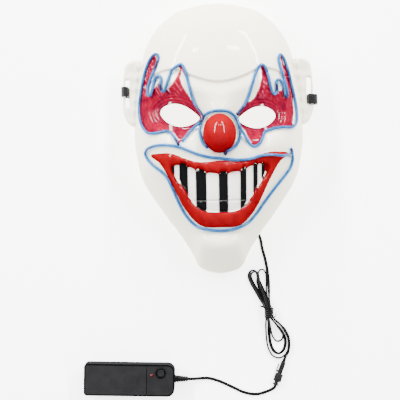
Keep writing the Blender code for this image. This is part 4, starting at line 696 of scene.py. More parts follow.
class Graph:
    """Short hand for one material's node tree."""

    def __init__(self, name: str) -> None:
        """Make an empty material with its shader."""
        self.material = bpy.data.materials.new(name)
        self.material.use_nodes = True
        self.nodes = self.material.node_tree.nodes
        self.links = self.material.node_tree.links
        self.shader = self.nodes["Principled BSDF"]
        self.place = self.nodes.new("ShaderNodeTexCoord").outputs["Object"]

    def put(self, socket: bpy.types.NodeSocket, value: object) -> None:
        """Link a socket or set its value."""
        if isinstance(value, bpy.types.NodeSocket):
            self.links.new(value, socket)
        elif isinstance(value, tuple) and len(value) == 3 and socket.type == "RGBA":
            socket.default_value = (*value, 1.0)
        else:
            socket.default_value = value

    def attribute(self, name: str) -> bpy.types.NodeSocket:
        """Read a number stored on the mesh."""
        node = self.nodes.new("ShaderNodeAttribute")
        node.attribute_name = name
        return node.outputs["Fac"]

    def facing_up(self) -> bpy.types.NodeSocket:
        """Return how far the piece's own surface faces upwards, -1 to 1."""
        split = self.nodes.new("ShaderNodeSeparateXYZ")
        self.links.new(self.nodes.new("ShaderNodeTexCoord").outputs["Normal"], split.inputs[0])
        return split.outputs["Z"]

    def object_height(self) -> bpy.types.NodeSocket:
        """Return the height on the piece's own axes, in metres."""
        split = self.nodes.new("ShaderNodeSeparateXYZ")
        self.links.new(self.nodes.new("ShaderNodeTexCoord").outputs["Object"], split.inputs[0])
        return split.outputs["Z"]

    def math(self, operation: str, a: object, b: object = 0.0) -> bpy.types.NodeSocket:
        """Work out one number from two."""
        node = self.nodes.new("ShaderNodeMath")
        node.operation = operation
        self.put(node.inputs[0], a)
        self.put(node.inputs[1], b)
        return node.outputs[0]

    def times(self, a: object, b: object) -> bpy.types.NodeSocket:
        """Multiply two numbers."""
        return self.math("MULTIPLY", a, b)

    def plus(self, a: object, b: object) -> bpy.types.NodeSocket:
        """Add two numbers."""
        return self.math("ADD", a, b)

    def step(self, value: object, low: float, high: float, top: float = 1.0) -> bpy.types.NodeSocket:
        """Rise smoothly from 0 at low to top at high.

        Args:
            value: The number to read.
            low: Where the step starts.
            high: Where it ends; below low, the step falls instead.
            top: Value at the end.

        Returns:
            The stepped value.
        """
        node = self.nodes.new("ShaderNodeMapRange")
        node.interpolation_type = "SMOOTHSTEP"
        if low > high:
            low, high, start, end = high, low, top, 0.0
        else:
            start, end = 0.0, top
        self.put(node.inputs["Value"], value)
        for key, number in (("From Min", low), ("From Max", high), ("To Min", start), ("To Max", end)):
            node.inputs[key].default_value = number
        return node.outputs["Result"]

    def mix(self, factor: object, a: object, b: object) -> bpy.types.NodeSocket:
        """Mix two colours."""
        node = self.nodes.new("ShaderNodeMix")
        node.data_type = "RGBA"
        self.put(node.inputs[0], factor)
        self.put(node.inputs[6], a)
        self.put(node.inputs[7], b)
        return node.outputs[2]

    def noise(
        self, size: float, detail: float = 2.0, stretch: Colour = (1.0, 1.0, 1.0), turn: float = 0.0
    ) -> bpy.types.NodeSocket:
        """Read a soft random pattern.

        Args:
            size: Size of its blotches in metres.
            detail: How many finer layers it has.
            stretch: How much longer the blotches are along each axis.
            turn: Turn about Z in degrees before the stretch.

        Returns:
            The pattern, about 0.2 to 0.8.
        """
        turned = self.nodes.new("ShaderNodeMapping")
        turned.inputs["Rotation"].default_value = (0.0, 0.0, math.radians(turn))
        self.links.new(self.place, turned.inputs["Vector"])
        scaled = self.nodes.new("ShaderNodeMapping")
        scaled.inputs["Scale"].default_value = tuple(1.0 / s for s in stretch)
        self.links.new(turned.outputs["Vector"], scaled.inputs["Vector"])
        node = self.nodes.new("ShaderNodeTexNoise")
        node.inputs["Scale"].default_value = 1.0 / size
        node.inputs["Detail"].default_value = detail
        self.links.new(scaled.outputs["Vector"], node.inputs["Vector"])
        return node.outputs["Fac"]

    def bump(self, height: object, depth: float, after: object = None) -> bpy.types.NodeSocket:
        """Raise the surface by a height pattern.

        Args:
            height: The pattern.
            depth: Rise in metres for a height of 1.
            after: An earlier bump's normal.

        Returns:
            The normal.
        """
        node = self.nodes.new("ShaderNodeBump")
        node.inputs["Distance"].default_value = depth
        self.put(node.inputs["Height"], height)
        if after is not None:
            self.links.new(after, node.inputs["Normal"])
        return node.outputs["Normal"]

    def dress(
        self, colour: object, roughness: object, normal: object = None, **constants: float
    ) -> bpy.types.Material:
        """Set the shader's sockets and return the material."""
        self.put(self.shader.inputs["Base Color"], colour)
        self.put(self.shader.inputs["Roughness"], roughness)
        self.shader.inputs["Specular IOR Level"].default_value = 0.25
        if normal is not None:
            self.links.new(normal, self.shader.inputs["Normal"])
        for name, number in constants.items():
            self.shader.inputs[name.replace("_", " ")].default_value = number
        return self.material


class Grain(Enum):
    """How a moulded surface is textured."""

    POLISHED = "polished"
    SATIN = "satin"
    SPARK = "spark-eroded"


@dataclass(frozen=True)
class Plastic:
    """A moulded plastic with its grain and handling marks; given a rim colour, it paints shade on the top's
    bevels and rim step and painted light on its upright walls.
    """

    name: str
    colour: Colour
    roughness: float
    grain: Grain = Grain.SATIN
    # colour of the painted shade on the top's bevels and in the rim step below rim_below
    edge_shade_colour: Colour | None = None
    rim_below: float = 0.0
    coat: float = 0.0
    shine: float = 0.12

    def material(self) -> bpy.types.Material:
        """Build the material."""
        g = Graph(self.name)
        cloud = g.noise(0.012, 3.0)
        fine = g.noise(0.0006, 3.0)
        light = tuple(min(1.0, c * 1.12 + 0.0005) for c in self.colour)
        dark = tuple(c * 0.92 for c in self.colour)
        colour = g.mix(g.step(cloud, 0.3, 0.7), dark, light)
        colour = g.mix(g.step(fine, 0.5, 0.75, 0.35), colour, light)
        # Painted shade: the rim colour darkens the bevels round the top and the floor of the rim step;
        # painted light makes the upright walls lighter.
        if self.edge_shade_colour is not None:
            top = g.step(g.object_height(), self.rim_below, self.rim_below + 0.00005)
            colour = g.mix(g.times(top, g.step(g.facing_up(), 0.80, 0.98)), self.edge_shade_colour, colour)
            colour = g.mix(g.step(g.facing_up(), 0.35, 0.08), colour, light)
        rub = g.noise(0.004, 4.0, (1.0, 3.0, 1.0), 25.0)
        roughness = g.plus(g.step(rub, 0.35, 0.7, 0.12), self.roughness - 0.05)
        depths = {Grain.POLISHED: 0.000006, Grain.SATIN: 0.00002, Grain.SPARK: 0.00006}
        size = 0.0005 if self.grain is Grain.SPARK else 0.0011
        normal = g.bump(g.noise(size, 3.0), depths[self.grain])
        return g.dress(
            colour, roughness, normal,
            Coat_Weight=self.coat, Coat_Roughness=0.12, Specular_IOR_Level=self.shine,
        )


@dataclass(frozen=True)
class GlowTube:
    """Clear blue tube over a lit core, its flanks darkened by painted shade, dark where it is bent hard or
    sleeved.
    """

    name: str = "glow_wire_tube"
    colour: Colour = (0.012, 0.066, 0.19)
    core: Colour = (0.024, 0.115, 0.28)
    # painted shade on the tube's sideways-facing flanks
    shaded_flank: Colour = (0.005, 0.026, 0.10)
    dark: Colour = (0.012, 0.010, 0.045)
    glow: float = 0.25

    def material(self) -> bpy.types.Material:
        """Build the material."""
        g = Graph(self.name)
        patch = g.noise(0.006, 2.0)
        lit = g.mix(g.step(patch, 0.35, 0.7), self.colour, self.core)
        # Painted shade: the flanks, which face sideways or down, take the darker flank colour.
        lit = g.mix(g.step(g.facing_up(), 0.30, 0.85), self.shaded_flank, lit)
        colour = g.mix(g.attribute("dark"), lit, self.dark)
        twist = g.noise(0.0009, 2.0)
        normal = g.bump(twist, 0.00004)
        g.put(g.shader.inputs["Emission Color"], colour)
        g.shader.inputs["Emission Strength"].default_value = self.glow
        return g.dress(
            colour, g.step(patch, 0.2, 0.9, 0.45), normal,
            Coat_Weight=0.25, Coat_Roughness=0.10, Specular_IOR_Level=0.05,
        )


@dataclass(frozen=True)
class Elastic:
    """Ribbed black elastic, woven across its cords."""

    name: str = "woven_elastic"
    colour: Colour = (0.0025, 0.0025, 0.003)
    thread: Colour = (0.012, 0.012, 0.0125)
    rib: float = 0.00125
    pick: float = 0.0007

    def material(self) -> bpy.types.Material:
        """Build the material."""
        g = Graph(self.name)
        along, across = g.attribute("along"), g.attribute("across")
        ribs = g.math("SINE", g.times(across, 2 * math.pi / (self.rib * 1000)))
        row = g.times(g.math("SIGN", ribs), math.pi / 2)
        picks = g.math("SINE", g.plus(g.times(along, 2 * math.pi / (self.pick * 1000)), row))
        weave = g.plus(g.times(picks, 0.5), 0.5)
        fuzz = g.noise(0.0004, 4.0)
        colour = g.mix(g.times(weave, g.step(fuzz, 0.3, 0.8)), self.colour, self.thread)
        normal = g.bump(weave, 0.00012, g.bump(fuzz, 0.00006))
        return g.dress(colour, g.step(fuzz, 0.0, 1.4, 0.95), normal, Specular_IOR_Level=0.1)


@dataclass(frozen=True)
class FacePaint:
    """Glossy vinyl of the face with its sprayed and brushed paint, with painted shade in places and a painted
    glow beside the wires.

    The mesh carries distances in millimetres to the edge of each painted area, so that an
    edge stays crisp whatever the mesh's step.
    """

    name: str = "painted_vinyl"
    white: Colour = (0.84, 0.795, 0.64)
    warm: Colour = (0.87, 0.815, 0.655)
    crimson: Colour = (0.180, 0.0004, 0.013)
    maroon: Colour = (0.058, 0.0004, 0.009)
    pink: Colour = (0.42, 0.030, 0.080)
    lip: Colour = (0.18, 0.0002, 0.0025)
    # deeper red, used in random blotches and as painted shade at the lips' inner edge and the nose's bottom
    deep_red_and_shade: Colour = (0.10, 0.0002, 0.0025)
    nose: Colour = (0.19, 0.0003, 0.0035)
    tooth_white: Colour = (0.90, 0.87, 0.81)
    tooth_black: Colour = (0.0025, 0.0025, 0.003)
    # painted shade along the brow crease, where the forehead overhangs
    crease: Colour = (0.62, 0.42, 0.42)
    # painted glow that the wires cast on the shell
    painted_wire_glow: Colour = (0.26, 0.62, 0.98)

    def material(self) -> bpy.types.Material:
        """Build the material."""
        g = Graph(self.name)
        blotch = g.noise(0.028, 3.0)
        colour = g.mix(g.step(blotch, 0.35, 0.68), self.white, self.warm)
        # Painted shade: a darker band along the brow crease, under the forehead's step.
        crease = g.math("ABSOLUTE", g.attribute("crease"))
        colour = g.mix(g.times(g.step(crease, 1.5, 0.1, 0.5), g.step(blotch, 0.3, 0.6)), colour,
                       self.crease)
        # Painted glow: the shell is tinted light blue within a few millimetres of each wire.
        colour = g.mix(g.step(g.attribute("wire"), 3.6, 1.2, 0.75), colour, self.painted_wire_glow)
        colour = self.eye_paint(g, colour)
        colour = self.mouth_paint(g, colour)
        colour = self.nose_paint(g, colour)
        peel = g.noise(0.0016, 2.0)
        normal = g.bump(peel, 0.00003, g.bump(g.noise(0.007, 2.0), 0.00012))
        paint = g.math("MAXIMUM", g.attribute("lips"), g.attribute("mouth"))
        paint = g.math("MAXIMUM", paint, g.attribute("nose"))
        gloss = g.step(paint, -0.2, 0.2)
        roughness = g.plus(g.times(gloss, -0.17), g.step(blotch, -0.6, 1.2, 0.44))
        g.put(g.shader.inputs["Coat Weight"], g.step(g.facing_up(), 0.66, 0.86, 0.6))
        return g.dress(colour, roughness, normal, Coat_Roughness=0.06, Coat_IOR=1.38,
                       Specular_IOR_Level=0.0)

    def eye_paint(self, g: Graph, colour: bpy.types.NodeSocket) -> bpy.types.NodeSocket:
        """Add the crimson patches with their dark sockets, pale edges and brush streaks.

        Args:
            g: The material's graph.
            colour: The colour so far.

        Returns:
            The new colour.
        """
        ragged = g.times(g.math("SUBTRACT", g.noise(0.0016, 3.0, (1.0, 2.5, 1.0)), 0.5), 2.2)
        edge = g.plus(g.attribute("patch"), ragged)
        away = g.attribute("socket")
        cloud = g.noise(0.009, 3.0)
        paint = g.mix(g.step(cloud, 0.42, 0.7, 0.75), self.crimson, self.maroon)
        paint = g.mix(g.step(g.plus(away, g.times(cloud, 5.0)), 6.5, 2.0, 0.85), paint, self.maroon)
        brush = g.noise(0.0022, 3.0, (1.0, 7.0, 1.0), -32.0)
        high = g.step(g.attribute("above_eye"), 6.0, 15.0)
        streak = g.times(g.step(brush, 0.5, 0.62), g.plus(g.times(high, 0.75), 0.12))
        paint = g.mix(streak, paint, self.pink)
        paint = g.mix(g.step(edge, 1.6, 0.2, 0.7), paint, self.pink)
        folds = g.math("SINE", g.times(away, 2 * math.pi / 3.1))
        lid = g.times(g.step(folds, 0.55, 1.0, 0.6), g.step(away, 12.0, 3.0))
        paint = g.mix(lid, paint, self.maroon)
        dry = g.times(g.step(brush, 0.60, 0.69), g.step(edge, 4.5, 0.5))
        dry = g.times(dry, g.plus(g.times(high, 0.7), 0.1))
        cover = g.times(g.step(edge, -0.25, 0.25), g.math("SUBTRACT", 1.0, dry))
        return g.mix(cover, colour, paint)

    def mouth_paint(self, g: Graph, colour: bpy.types.NodeSocket) -> bpy.types.NodeSocket:
        """Add the red lips, the black and white teeth and their seams, with painted shade where the lips meet
        the teeth.

        Args:
            g: The material's graph.
            colour: The colour so far.

        Returns:
            The new colour.
        """
        lips, mouth = g.attribute("lips"), g.attribute("mouth")
        cloud = g.noise(0.008, 2.0)
        red = g.mix(g.step(cloud, 0.4, 0.75, 0.6), self.lip, self.deep_red_and_shade)
        # Painted shade: the lips darken towards their inner edge, where they roll down to the teeth.
        red = g.mix(g.step(mouth, -2.0, 0.4, 0.5), red, self.deep_red_and_shade)
        wobble = g.times(g.math("SUBTRACT", g.noise(0.003, 2.0), 0.5), 1.0)
        colour = g.mix(g.step(g.plus(lips, wobble), -0.2, 0.2), colour, red)
        seam = g.math("ABSOLUTE", g.attribute("tooth_edge"))
        white = g.mix(g.step(seam, 0.9, 0.15, 0.7), self.tooth_white, (0.25, 0.235, 0.22))
        # Painted shade: the teeth take a dark red along their edges next to the lips.
        white = g.mix(g.step(mouth, 2.2, 0.2, 0.35), white, (0.45, 0.16, 0.15))
        tooth = g.mix(g.step(g.attribute("dark"), -0.12, 0.12), white, self.tooth_black)
        bite = g.step(g.math("ABSOLUTE", g.attribute("bite")), 0.55, 0.1, 0.45)
        tooth = g.mix(bite, tooth, (0.16, 0.15, 0.145))
        return g.mix(g.step(mouth, 0.20, 0.45), colour, tooth)

    def nose_paint(self, g: Graph, colour: bpy.types.NodeSocket) -> bpy.types.NodeSocket:
        """Add the red ball, darker towards its bottom as painted shade, and the spray that drifted under it.

        Args:
            g: The material's graph.
            colour: The colour so far.

        Returns:
            The new colour.
        """
        near = g.attribute("nose")
        drift = g.times(g.step(near, -4.5, -0.5, 0.75), g.step(g.attribute("below_nose"), 0.0, 4.0))
        drift = g.times(drift, g.step(g.noise(0.004, 3.0), 0.35, 0.65))
        colour = g.mix(drift, colour, (0.60, 0.06, 0.09))
        cloud = g.noise(0.012, 2.0)
        red = g.mix(g.step(cloud, 0.4, 0.8, 0.4), self.nose, self.deep_red_and_shade)
        # Painted shade: the ball darkens towards its bottom.
        red = g.mix(g.step(g.attribute("below_nose"), 2.0, 14.0, 0.45), red, self.deep_red_and_shade)
        return g.mix(g.step(near, -0.35, 0.15), colour, red)


@dataclass(frozen=True)
class Metal:
    """Dull plated metal."""

    name: str
    colour: Colour = (0.55, 0.54, 0.51)
    roughness: float = 0.35

    def material(self) -> bpy.types.Material:
        """Build the material."""
        g = Graph(self.name)
        cloud = g.noise(0.004, 3.0)
        colour = g.mix(g.step(cloud, 0.35, 0.7, 0.5), self.colour, tuple(c * 0.6 for c in self.colour))
        roughness = g.step(cloud, -0.5, 1.5, self.roughness * 2)
        return g.dress(colour, roughness, g.bump(g.noise(0.0008), 0.00001), Metallic=1.0)


class FaceForm:
    """Height of the face's outer skin over the plane that its rim rests on."""

    def __init__(self) -> None:
        """Set the sizes and work out the loops of the features."""
        self.half_h, self.half_w = HALF_HEIGHT, HALF_WIDTH
        self.depth, self.wall = 0.074, 0.0016
        self.mouth_half, self.teeth_half = 0.0698, 0.0484
        self.dome = np.array((0.0, 0.07 * self.half_h))
        self.nose_half, self.nose_y = (0.0164, 0.0194), 0.012 * self.half_h
        self.bite_y = -0.46 * self.half_h
        self.cheek_rise, self.chin_rise, self.groove_depth = 0.005, 0.0065, 0.0028
        self.bridge_rise, self.brow_step, self.brow_dip = 0.006, 0.0026, 0.002
        self.socket_depth, self.lip_roll, self.teeth_drop = 0.0065, 0.0045, 0.003
        self.nose_rise = 0.021
        right = [(across * self.half_w, up * self.half_h) for up, across in FACE_OUTLINE]
        self.outline = smooth_through(right + [(-x, y) for x, y in right[-2:0:-1]], 360, True)
        offset = self.outline - self.dome
        self.angles, self.radii = np.arctan2(offset[:, 1], offset[:, 0]), np.hypot(*offset.T)
        self.eyes = [self.eye_loop(eye, 160) for eye in EYES]
        self.lip_outer = self.lip_loop(LIP_OUTER, self.mouth_half, 120)
        self.lip_inner = self.lip_loop(LIP_INNER, self.teeth_half, 90)
        self.edges = np.array([start for start, _ in TEETH] + [1.03]) * self.teeth_half
        self.is_dark = np.array([tone == "dark" for _, tone in TEETH])

    def eye_loop(self, eye: Sequence[float], count: int, grow: float = 0.0) -> Array:
        """Draw the plan edge of one eye hole.

        Args:
            eye: A row of EYES.
            count: Points round the edge.
            grow: How far outside the hole, in metres.

        Returns:
            The loop.
        """
        side, across, up, length, height, fall = eye
        length, height, fall = length * self.half_w, height * self.half_h, fall * self.half_h
        points = []
        for along, above in EYE_EDGE:
            x = across * self.half_w - side * (along - 0.5) * (length + 2 * grow)
            points.append((x, up * self.half_h + above * (height / 2 + grow) - fall * (along - 0.42)))
        return smooth_through(points, count, True)

    def lip_loop(self, table: Table, half_width: float, count: int) -> Array:
        """Draw a plan edge of the lips from a table of across, top and bottom."""
        top = [(across * half_width, up * self.half_h) for across, up, _ in table]
        low = [(across * half_width, up * self.half_h) for across, _, up in table[:-1]]
        left = [(-x, y) for x, y in low[1:] + top[:0:-1]]
        return smooth_through(top + low[::-1] + left, count, True)

    def rim_share(self, x: Array, y: Array) -> Array:
        """Return 0 at the dome's centre and 1 on the outline."""
        dy = y - self.dome[1]
        reach = np.interp(np.arctan2(dy, x), self.angles, self.radii, period=2 * math.pi)
        return np.hypot(x, dy) / reach

    def mound(self, x: Array, y: Array, up: float, wide: float, tall: float) -> Array:
        """Return a soft round bump of height 1."""
        return np.exp(-((x / wide) ** 2) - ((y - up * self.half_h) / tall) ** 2)

    def tooth_at(self, x: Array) -> tuple[Array, Array]:
        """Return which tooth a point is on and its place across it, -1 to 1."""
        i = np.clip(np.searchsorted(self.edges, x, side="right") - 1, 0, len(TEETH) - 1)
        return i, np.clip(2 * (x - self.edges[i]) / (self.edges[i + 1] - self.edges[i]) - 1, -1, 1)

    def in_teeth(self, x: Array, y: Array) -> Array:
        """Measure how far a point is inside the teeth, whose gum line is scalloped."""
        i, across = self.tooth_at(x)
        crown = 1 - across**4
        rise = np.where(self.is_dark[i], 0.0036, 0.0016) * crown - 0.0004
        rise = rise * ease((0.95 * self.teeth_half - np.abs(x)) / 0.006)
        return inside_distance(x, y - np.where(y > self.bite_y, rise, 0.0), self.lip_inner)

    def tooth_relief(self, x: Array, y: Array, within: Array) -> Array:
        """Raise each tooth: the dark ones stand prouder, and all are split at the bite."""
        i, across = self.tooth_at(x)
        rise = np.where(self.is_dark[i], 0.0026, 0.0014)
        top = np.sqrt(np.clip(1 - np.abs(across) ** np.where(self.is_dark[i], 2.2, 4.0), 0.0, 1.0))
        bite = 0.0010 * np.exp(-(((y - self.bite_y) / 0.0009) ** 2))
        return (rise * top - bite) * ease(within / 0.003)

    def folds(self, x: Array, y: Array, k: int, away: Array) -> Array:
        """Raise the lid folds over an eye and the creases at its outer end."""
        loop = self.eyes[k]
        outer = loop[:, 0].min() if EYES[k][0] < 0 else loop[:, 0].max()
        above = ease((y - loop[:, 1].max() + 0.004) / 0.005)
        beside = ease(((x - outer) * EYES[k][0] + 0.001) / 0.004)
        beside *= ease((loop[:, 1].max() + 0.012 - y) / 0.01)
        reach = np.exp(-(((away - 0.0055) / 0.0035) ** 2)) * above
        reach += 1.25 * np.exp(-(((away - 0.0075) / 0.0042) ** 2)) * beside
        return 0.00024 * np.sin(away / 0.0034 * 2 * math.pi) * reach

    def height(self, x: Array, y: Array) -> Array:
        """Work out the height of the outer skin.

        Args:
            x: Plan x of the points.
            y: Plan y of the points.

        Returns:
            The heights, in the shape of x.
        """
        x, y = np.asarray(x, float), np.asarray(y, float)
        up, side = y / self.half_h, np.abs(x)
        share = np.clip(self.rim_share(x, y), 0.0, 1.0)
        rim = 0.0095 * np.sin(np.clip((0.92 - np.abs(up)) / 0.45, 0.0, 1.0) * math.pi / 2)
        body = rim + (self.depth * read_table(PROFILE, up) - rim) * (1 - share**2.5) ** (1 / 2.3)
        relief = self.cheek_rise * self.mound(side - 0.57 * self.half_w, y, -0.03, 0.021, 0.020)
        relief += self.chin_rise * self.mound(x, y, -0.80, 0.023, 0.0125)
        relief -= self.groove_depth * self.mound(x, y, -0.69, 0.026, 0.005)
        bridge = ease((up + 0.05) / 0.12) * ease((0.36 - up) / 0.2)
        relief += self.bridge_rise * np.exp(-((x / 0.013) ** 2)) * bridge
        above = y - read_table(CREASE, x / self.half_w) * self.half_h
        fade = ease((1 - share) / 0.16)
        brow = ease(above / 0.0032 + 0.5) * np.exp(-((np.maximum(above, 0) / 0.03) ** 2))
        relief += self.brow_step * brow * fade
        relief += self.brow_dip * np.exp(-(((above + 0.011) / 0.007) ** 2))
        for k, loop in enumerate(self.eyes):
            away = np.maximum(-inside_distance(x, y, loop), 0.0)
            relief -= self.socket_depth * np.exp(-((away / 0.012) ** 2))
            relief += self.folds(x, y, k, away)
        in_lips = np.maximum(inside_distance(x, y, self.lip_outer), 0.0)
        in_teeth = self.in_teeth(x, y)
        off_teeth = np.maximum(-in_teeth, 0.0)
        roll = 4 * in_lips * off_teeth / (in_lips + off_teeth + 1e-9) ** 2
        relief += self.lip_roll * np.sqrt(np.clip(roll, 0.0, 1.0))
        relief -= self.teeth_drop * ease(in_teeth / 0.002)
        relief += np.where(in_teeth > 0, self.tooth_relief(x, y, in_teeth), 0.0)
        skin = body + relief * fade
        q = (x / self.nose_half[0]) ** 2 + ((y - self.nose_y) / self.nose_half[1]) ** 2
        ball = self.depth + self.nose_rise * np.sqrt(np.clip(1 - q, 0.0, 1.0))
        return np.where(q < 1, np.maximum(skin, ball), skin)

    def normal(self, x: Array, y: Array) -> Array:
        """Return the outward unit normals of the outer skin."""
        e = 0.0004
        slope_x = (self.height(x + e, y) - self.height(x - e, y)) / (2 * e)
        slope_y = (self.height(x, y + e) - self.height(x, y - e)) / (2 * e)
        normals = np.stack([-slope_x, -slope_y, np.ones_like(slope_x)], axis=-1)
        return normals / np.linalg.norm(normals, axis=-1, keepdims=True)

    def rest_height(self, x: Array, y: Array, radius: float, side: int) -> Array:
        """Find the height at which a ball touches the skin.

        Args:
            x: Plan x of the ball's centre.
            y: Plan y of the ball's centre.
            radius: The ball's radius.
            side: 1 for a ball on the face, -1 for one under it.

        Returns:
            The height of its centre.
        """
        heights = []
        for ring, count in ((0.0, 1), (0.45, 6), (0.8, 10), (0.97, 10)):
            rise = radius * math.sqrt(1 - ring**2)
            for k in range(count):
                turn = 2 * math.pi * k / count
                dx, dy = ring * radius * math.cos(turn), ring * radius * math.sin(turn)
                heights.append(self.height(x + dx, y + dy) + side * rise)
        return np.max(heights, axis=0) if side > 0 else np.min(heights, axis=0)

    def plan(self, points: Table) -> Array:
        """Turn shares of the half width and half height into plan metres."""
        return np.array([(p[0] * self.half_w, p[1] * self.half_h) for p in points])


def wire_plan(form: FaceForm, route: Table, count: int) -> Array:
    """Return a wire's smooth line over the plan of the face."""
    return smooth_through(form.plan(route), count, False)


@dataclass
class MaskShell:
    """The moulded face with its ears, painted."""

    form: FaceForm
    fine: float = 0.00105
    coarse: float = 0.0021
    inner_step: float = 0.0026
    ear_root: float = EAR_ROOT
    ear_reach: float = EAR_REACH
    ear_height: float = 0.0684
    ear_bottom: float = 0.085 * HALF_HEIGHT
    ear_thickness: float = 0.0024
    slot_width: float = SLOT_WIDTH
    slot_length: float = 0.028
    slot_strip: float = SLOT_STRIP

    def build(self) -> bpy.types.Object:
        """Build and dress the shell."""
        verts, faces, marks, top = self.face_sheet()
        for side in (-1, 1):
            ear_verts, ear_faces = self.ear(side)
            base = len(verts)
            verts = np.vstack([verts, ear_verts])
            faces += [tuple(base + i for i in f) for f in ear_faces]
            plain = self.marks(ear_verts[:, 0], ear_verts[:, 1], False)
            marks = {name: np.concatenate([marks[name], plain[name]]) for name in marks}
        mesh = new_mesh("mask_face", verts, faces, 42)
        self.smooth_normals(mesh, top)
        for name, values in marks.items():
            set_attribute(mesh, name, values)
        return add_piece("mask_face", mesh, FacePaint().material(), ["mask_shell"])

    def holes(self) -> list[Array]:
        """Draw the eye holes and the round holes of the wires' live ends."""
        loops = [self.form.eye_loop(eye, 84) for eye in EYES]
        for wire in WIRES:
            x, y = self.form.plan(wire.route[:1])[0]
            normal = Vector(self.form.normal(np.array([x]), np.array([y]))[0])
            first = normal.cross(Vector((0.0, 1.0, 0.0))).normalized()
            second = normal.cross(first)
            turns = [2 * math.pi * (k + 0.5) / 16 for k in range(16)]
            spokes = [(first * math.cos(t) + second * math.sin(t)) * 0.00165 for t in turns]
            loops.append(np.array([(x + s.x, y + s.y) for s in spokes]))
        return loops

    def busy(self, x: Array, y: Array) -> Array:
        """Tell where the face has features that need a fine mesh."""
        form = self.form
        near = inside_distance(x, y, form.lip_outer) > -0.004
        for loop in form.eyes:
            near |= inside_distance(x, y, loop) > -0.015
        q = (x / form.nose_half[0]) ** 2 + ((y - form.nose_y) / form.nose_half[1]) ** 2
        near |= q < 1.7
        near |= np.abs(y - read_table(CREASE, x / form.half_w) * form.half_h) < 0.005
        for wire in WIRES:
            near |= line_distance(x, y, wire_plan(form, wire.route, 90), False) < 0.0045
        return near

    def plan_points(self, step: float, sparse: float, holes: list[Array]) -> Array:
        """Lay staggered points over the face, close together only where it is busy.

        Args:
            step: Spacing on the features.
            sparse: Spacing elsewhere, a multiple of step.
            holes: Loops that the points keep clear of.

        Returns:
            The points, with rings along the features' edges.
        """
        form = self.form
        rings = [form.lip_outer, form.lip_inner]
        turn = np.arange(96) * 2 * math.pi / 96
        ellipse = np.column_stack([form.nose_half[0] * np.cos(turn), form.nose_half[1] * np.sin(turn)])
        rings += [ellipse * s + (0.0, form.nose_y) for s in (1.0, 0.985, 0.95)]
        rows = np.arange(-form.half_h, form.half_h, step * 0.87)
        columns = np.arange(-math.ceil(form.half_w / step), math.ceil(form.half_w / step) + 1)
        k, c = np.meshgrid(np.arange(len(rows)), columns, indexing="ij")
        x, y = (c + (k % 2) / 2) * step, rows[k]
        skip = max(1, round(sparse / step))
        sparse_here = (k % skip == 0) & (c % skip == 0)
        x, y, sparse_here = x.ravel(), y.ravel(), sparse_here.ravel()
        keep = form.rim_share(x, y) < 0.956
        x, y, sparse_here = x[keep], y[keep], sparse_here[keep]
        keep = sparse_here | (self.busy(x, y) if skip > 1 else False)
        x, y = x[keep], y[keep]
        for loop in [*holes, *rings]:
            gap = line_distance(x, y, np.asarray(loop), True)
            x, y = x[gap > step * 0.42], y[gap > step * 0.42]
        points = [np.column_stack([x, y]), *rings]
        shares = (0.9993, 0.9975, 0.994, 0.989, 0.982, 0.973, 0.962) if step < 0.002 else (0.993, 0.972)
        points += [form.dome + (form.outline - form.dome) * s for s in shares]
        points = np.vstack(points)
        for loop in holes:
            points = points[inside_distance(points[:, 0], points[:, 1], loop) < -step * 0.3]
        return points

    def triangles(self, loops: list[Array], points: Array) -> list[tuple[int, int, int]]:
        """Triangulate the plan inside the first loop and outside the others.

        Args:
            loops: The outline and the holes.
            points: Points between them.

        Returns:
            Triangles of indices into the loops' points and then the others.
        """
        coords, edges = [], []
        for loop in loops:
            first, size = len(coords), len(loop)
            coords += [Vector(p) for p in loop]
            edges += [(first + i, first + (i + 1) % size) for i in range(size)]
        coords += [Vector(p) for p in points]
        out, _, tris, origin, _, _ = delaunay_2d_cdt(coords, edges, [], 0, 1e-9)
        where = np.array([tuple(p) for p in out])
        tris = np.array(tris)
        source = np.array([o[0] if o else -1 for o in origin])
        middle = where[tris].mean(axis=1)
        keep = np.ones(len(tris), bool)
        rim = self.form.rim_share(middle[:, 0], middle[:, 1]) > 0.985
        keep[rim] = inside_distance(middle[rim, 0], middle[rim, 1], loops[0]) > 0
        for loop in loops[1:]:
            near = np.all(np.abs(middle - loop.mean(axis=0)) < np.ptp(loop, axis=0), axis=1)
            keep[near] &= inside_distance(middle[near, 0], middle[near, 1], loop) < 0
        keep &= (source[tris] >= 0).all(axis=1)
        return [tuple(t) for t in source[tris[keep]]]

    def smooth_normals(self, mesh: bpy.types.Mesh, top: int) -> None:
        """Shade the outer skin from the form itself, so that its triangles don't show.

        Args:
            mesh: The shell's mesh.
            top: How many corners lie on the outer skin; they come first.
        """
        where = np.empty(len(mesh.vertices) * 3, np.float32)
        mesh.vertices.foreach_get("co", where)
        where = where.reshape(-1, 3)[:top]
        normals = np.zeros((len(mesh.vertices), 3))
        normals[:top] = self.form.normal(where[:, 0], where[:, 1])
        normals[:top][self.form.rim_share(where[:, 0], where[:, 1]) > 0.9985] = 0.0
        corners = np.empty(len(mesh.loops), np.int32)
        mesh.loops.foreach_get("vertex_index", corners)
        loops = normals[corners]
        for face in mesh.polygons:
            if max(face.vertices) >= top:
                loops[face.loop_start:face.loop_start + face.loop_total] = 0.0
        mesh.normals_split_custom_set([tuple(n) for n in loops])

